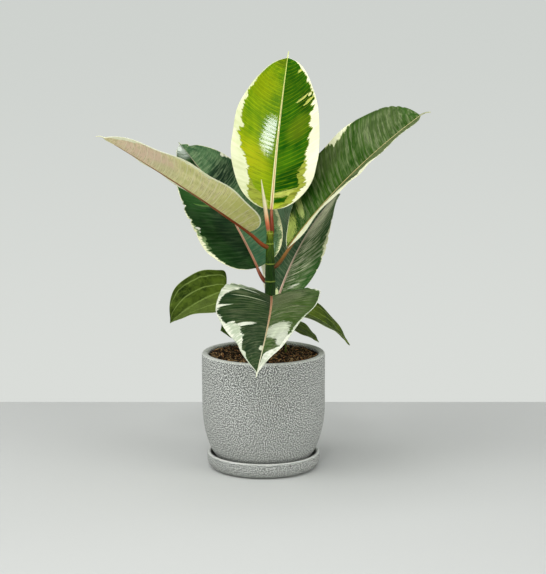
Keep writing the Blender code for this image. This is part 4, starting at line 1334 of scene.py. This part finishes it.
def add_stalk(name, leaf, finish):
    """A rod from the stem to the blade's base and on beneath the blade as its midrib."""
    side, lean = radians(leaf["side"]), radians(leaf.get("lean", 0))
    out = np.array((cos(side), sin(side), 0))
    start = np.array((STEM_X, 0, leaf["foot"])) + out * (stem_radius(leaf["foot"]) - STALK_ROOTED)
    out = out * cos(lean) + np.array((0, 0, sin(lean)))
    forward, _, up = rib_directions(leaf, 0)
    joint = rib_points(leaf, 0) - up * (STALK_RADIUS + BLADE_THICKNESS - RIB_SUNK)
    reach = np.linalg.norm(joint - start)
    bend = [start, start + out * reach * 0.2, joint - forward * reach * 0.35, joint]
    shares = np.linspace(0, 1, RIB_STEPS)[1:]
    rib_radii = STALK_RADIUS + (RIB_END_RADIUS - STALK_RADIUS) * shares**0.7
    _, _, up = rib_directions(leaf, RIB_END * shares)
    under = rib_points(leaf, RIB_END * shares) - up * (rib_radii + BLADE_THICKNESS - RIB_SUNK)[:, None]
    path = np.concatenate([bezier(bend, np.linspace(0, 1, STALK_STEPS)), under])
    radii = np.concatenate([np.linspace(STALK_START_RADIUS, STALK_RADIUS, STALK_STEPS), rib_radii])
    radii[0] += STALK_FLARE
    rod("rib_" + name, path, radii, STALK_SIDES, [finish], replaces=["stalk_" + name], slot="leaf_stalk")


stem_heights = np.linspace(STEM_TOP_Z, SOIL_Z - 0.004, STEM_ROWS)
stem_profile = [(0.0006, STEM_TOP_Z)] + [(stem_radius(z), z) for z in stem_heights]
stem_profile += [(STEM_RADIUS_SOIL, SOIL_Z - STEM_DEPTH + GAP)]
turned(
    "stem_skin", stem_profile, STEM_SIDES, [stem_finish()], wobble=STEM_WOBBLE, centre=(STEM_X, 0),
    replaces=["stem"], slot="green_stem",
)

STALK_COLOURS = {
    "top": [(0.0, (110, 46, 16)), (0.22, (144, 62, 36)), (0.32, (190, 130, 96)), (1.0, (206, 206, 140))],
    "left": [
        (0.0, (112, 66, 24)), (0.12, RED_BROWN), (0.40, (126, 56, 26)), (0.60, (144, 92, 56)),
        (1.0, (160, 118, 80)),
    ],
    "rear_left": [
        (0.0, (78, 32, 12)), (0.14, (120, 52, 26)), (0.25, (148, 84, 58)), (0.35, (176, 124, 98)),
        (1.0, (150, 150, 108)),
    ],
    "right": [(0.0, (80, 46, 16)), (0.20, (124, 86, 36)), (0.35, (170, 124, 74)), (1.0, (180, 172, 124))],
    "rear_right": [(0.0, (110, 60, 36)), (0.30, (184, 150, 128)), (1.0, (160, 156, 122))],
    "front": [(0.0, (100, 50, 28)), (0.30, (170, 108, 78)), (1.0, (178, 170, 128))],
}
for name, leaf in LEAVES.items():
    add_stalk(name, leaf, stalk_finish("stalk_" + name, STALK_COLOURS[name]))

SHEATH_LENGTH, SHEATH_BASE_RADIUS, SHEATH_RADIUS, SHEATH_TIP_RADIUS = 0.0630, 0.0022, 0.0028, 0.0003
SHEATH_TILT, SHEATH_OFFSET, SHEATH_SUNK = 8.0, 0.0016, 0.0006
SHEATH_ROWS, SHEATH_SIDES, SHEATH_LAP = 90, 36, 0.16
SHEATH_COLOURS = [
    (0.0, (150, 150, 60)), (0.06, (172, 78, 46)), (0.18, (214, 116, 74)), (0.31, (232, 186, 138)),
    (0.52, (238, 228, 190)), (1.0, (230, 222, 170)),
]


def sheath_radius(t):
    swell = SHEATH_BASE_RADIUS + (SHEATH_RADIUS - SHEATH_BASE_RADIUS) * sin(pi * min(t / 0.6, 1) / 2)
    return SHEATH_TIP_RADIUS + (swell - SHEATH_TIP_RADIUS) * (1 - t**2.2)


def add_sheath():
    """A leaf rolled into a spike. One edge of the roll overlaps the other in a slow spiral."""
    finish = Finish("rolled_sheath", Coat_Weight=0.25, Coat_Roughness=0.2)
    around, share = finish.layer("place")
    lengthwise = grain(triple(finish, around * 9, share * 3, 0.7), 3, 3)
    colour = ramp(share + sway(lengthwise, 0.12), linear(SHEATH_COLOURS))
    colour = mix(rise(lengthwise, 0.5, 0.8) * 0.35, colour, srgb(196, 150, 112))
    made = finish.show(colour, 0.34, bump(lengthwise, 0.35, 0.0003))
    base = Vector((STEM_X - SHEATH_OFFSET, 0, STEM_TOP_Z - SHEATH_SUNK))
    lean = radians(SHEATH_TILT)
    forward, side = Vector((-sin(lean), 0, cos(lean))), Vector((cos(lean), 0, sin(lean)))
    back = Vector((0, 1, 0))
    circles, places = [], []
    for i in range(SHEATH_ROWS):
        t = i / (SHEATH_ROWS - 1)
        middle = base + forward * t * (SHEATH_LENGTH + SHEATH_SUNK)
        circle = []
        for k in range(SHEATH_SIDES):
            turn = 2 * pi * k / SHEATH_SIDES
            lap = 1 + SHEATH_LAP * (((turn - 2.4 * t - 3.6) / (2 * pi)) % 1) - SHEATH_LAP / 2
            circle.append(tuple(middle + (side * cos(turn) + back * sin(turn)) * (sheath_radius(t) * lap)))
        circles.append(circle)
        places.append([(k / SHEATH_SIDES, t) for k in range(SHEATH_SIDES)])
    facts = dict(replaces=["bud_sheath"], slot="bud_sheath")
    rings("rolled_sheath", np.array(circles), np.array(places), [made], **facts)


add_sheath()
print("stem, stalks and sheath made")

# %% [markdown]
# Small heart leaves
#
# Four soft, plain green leaves shaped like hearts grow low beside the stem. Their veins don't run straight
# to the edge as the large leaves' do: they start together at the stalk and arch forward to the tip, so they
# lie at a constant share across. The rows of this mesh go round the heart, and the surface is puckered
# between the veins.

# %% Heart leaves
HEART_NOTCH, HEART_LOBE, HEART_ROUND = 0.25, 0.12, 0.85
HEART_STALK_RADIUS, HEART_RIB_SUNK, HEART_RIB_END = 0.0011, 0.0009, 0.62
HEART_ROWS, HEART_COLUMNS, HEART_RIB_STEPS, HEART_STALK_SIDES = 110, 26, 24, 16
PUCKER_SCALE, PUCKER_HEIGHT, HEART_GROOVE, EDGE_LIFT = 150, 0.0009, 0.0007, 0.0007
HEART_VEINS = (0.42, 0.80)


def brighter(colour, more):
    return tuple(min(255, c + more) for c in colour)


def heart_finish(name, green, pale, lit=0.0, under=False):
    """Puckered green skin. lit is how much brighter the left half is, where it is turned up to the light."""
    finish = Finish(name, Specular_IOR_Level=0.08)
    t, share = finish.layer("place")
    spot = finish.spot()
    cells = grain(spot, 150, 4)
    broad = grain(spot, 45, 3)
    a = abs(t)
    colour = mix(rise(cells * 0.5 + broad * 0.8, 0.42, 0.90), srgb(*green), srgb(*pale))
    colour = mix((t > 0) * lit, colour, srgb(*brighter(pale, 34)))
    lines = fall(a, 0.012, 0.035 + lit * 0.05)
    for place in HEART_VEINS:
        wander = abs(a - place + sway(broad, 0.10))
        lines = lines.maths("MAXIMUM", lines, fall(wander, 0.008, 0.032) * (1.1 - place * 0.4))
    crossing = finish.node("ShaderNodeTexVoronoi", {"feature": "DISTANCE_TO_EDGE"}, Vector=spot, Scale=130)
    net = fall(crossing, 0.01, 0.07)
    colour = mix(net * 0.30, colour, srgb(*pale))
    colour = mix(lines * (1 - share * 0.4) * 0.85, colour, srgb(*brighter(pale, 46)))
    colour = mix(rise(a, 0.975, 0.995) * 0.7, colour, srgb(150, 166, 92))
    relief = cells * 0.3 - net * 0.5 - lines * (0.8 if not under else -1.2)
    return finish.show(colour, 0.42 + cells * 0.12, bump(relief, 0.5, 0.0004))


def heart_surface(leaf, turn, t):
    """Points of a heart at turns round it from notch to tip and t across, with up, share along and width."""
    angle = pi * turn
    rib_share = (1 - np.cos(angle)) / 2
    edge_share = rib_share - np.sin(angle) * (HEART_NOTCH + HEART_LOBE * np.cos(angle))
    share = rib_share + (edge_share - rib_share) * np.abs(t)
    point = by_half(t, lambda side: leaf["point_" + side])
    width = leaf["half"] * np.sin(angle) ** (HEART_ROUND + point * turn**3)
    width = width * (1 + by_half(t, lambda side: bumps(leaf, "swell_" + side, turn)))
    fold = np.radians(by_half(t, lambda side: leaf["fold_" + side]))
    _, left, up = rib_directions(leaf, share)
    points = rib_points(leaf, share) + left * (np.cos(fold) * t * width)[..., None]
    points += up * (np.sin(fold) * np.abs(t) * width)[..., None]
    return points, up, share, width


def add_heart_leaf(name, leaf, finishes, seed):
    turn = 0.03 + 0.968 * np.linspace(0, 1, HEART_ROWS) ** 0.95
    half = np.linspace(0, 1, HEART_COLUMNS + 1) ** 0.9
    turn, t = np.meshgrid(turn, np.concatenate([-half[:0:-1], half]), indexing="ij")
    points, up, share, width = heart_surface(leaf, turn, t)
    across = np.abs(t)
    grooves = bell(across, 0.035)
    for place in HEART_VEINS:
        grooves = grooves + 0.6 * bell(across - place, 0.03)
    spots = points.reshape(-1, 3) * PUCKER_SCALE + (0, 0, seed)
    lumps = np.array([noise.noise(Vector(spot)) for spot in spots]).reshape(t.shape)
    fade = unit((1 - across) * 6) * unit(width / 0.006)
    relief = (PUCKER_HEIGHT * lumps - HEART_GROOVE * grooves) * fade * leaf["half"] / 0.036
    edge_lift = EDGE_LIFT * across**4 * np.sin(9 * pi * turn + np.where(t > 0, 0, 1.4) + seed)
    edge_lift = edge_lift * unit(width / 0.012)
    upper = points + up * (relief + edge_lift)[..., None]
    thickness = 0.0003 + 0.0004 * (1 - across)
    lower = points + up * (relief * 0.8 + edge_lift - thickness)[..., None]
    places = np.stack([t, share], -1)
    sheet(name + "_leaf", upper, lower, places, finishes, replaces=[name], slot="heart_leaf")


def add_heart_stalk(name, leaf, finish):
    """A rod from the soil up to the notch and on beneath the leaf, thinner and thinner."""
    x, y = leaf["root"]
    root = np.array((x, y, SOIL_Z - BURIED))
    above = np.array((x, y, SOIL_Z + SOIL_DOME + SOIL_BUMP))
    forward, _, up = rib_directions(leaf, 0)
    joint = rib_points(leaf, 0) - up * (HEART_STALK_RADIUS + BLADE_THICKNESS - HEART_RIB_SUNK)
    reach = np.linalg.norm(joint - above)
    bend = [above, above + np.array((0, 0, reach * 0.6)), joint - forward * reach * 0.3, joint]
    path = [root] + list(bezier(bend, np.linspace(0, 1, 30)))
    radii = [HEART_STALK_RADIUS] * len(path)
    for i in range(1, HEART_RIB_STEPS + 1):
        share = HEART_RIB_END * i / HEART_RIB_STEPS
        radius = HEART_STALK_RADIUS * (1 - 0.75 * i / HEART_RIB_STEPS)
        _, _, up = rib_directions(leaf, share)
        path.append(rib_points(leaf, share) - up * (radius + BLADE_THICKNESS - HEART_RIB_SUNK))
        radii.append(radius)
    rod(name + "_stalk", path, radii, HEART_STALK_SIDES, [finish], slot="heart_leaf")


HEART_STALK_COLOURS = [(0.0, (78, 92, 34)), (0.5, (106, 132, 50)), (1.0, (128, 152, 72))]
heart_stalk = stalk_finish("heart_stalk", HEART_STALK_COLOURS, 0.45)
UNDERSIDE_PALER = (36, 38, 6)

# for each leaf its green, its paler green and how far its left half is lit
HEART_GREENS = {
    "heart_left": ((28, 44, 4), (80, 100, 30), 0.4),
    "heart_left_low": ((34, 54, 14), (62, 84, 28), 0.0),
    "heart_right": ((38, 58, 8), (86, 104, 30), 0.0),
    # its greens are partly painted light, brighter than the others' where it lies in the shade below the
    # front leaf
    "heart_right_low": ((76, 104, 14), (132, 152, 40), 0.0),
}
for seed, (name, leaf) in enumerate(HEARTS.items()):
    green, pale, lit = HEART_GREENS[name]
    lighter = [tuple(c + more for c, more in zip(shade, UNDERSIDE_PALER)) for shade in (green, pale)]
    upper, lower = heart_finish(name, green, pale, lit), heart_finish(name + "_under", *lighter, under=True)
    add_heart_leaf(name, leaf, [upper, lower], seed * 11)
    add_heart_stalk(name, leaf, heart_stalk)
print("heart leaves made")
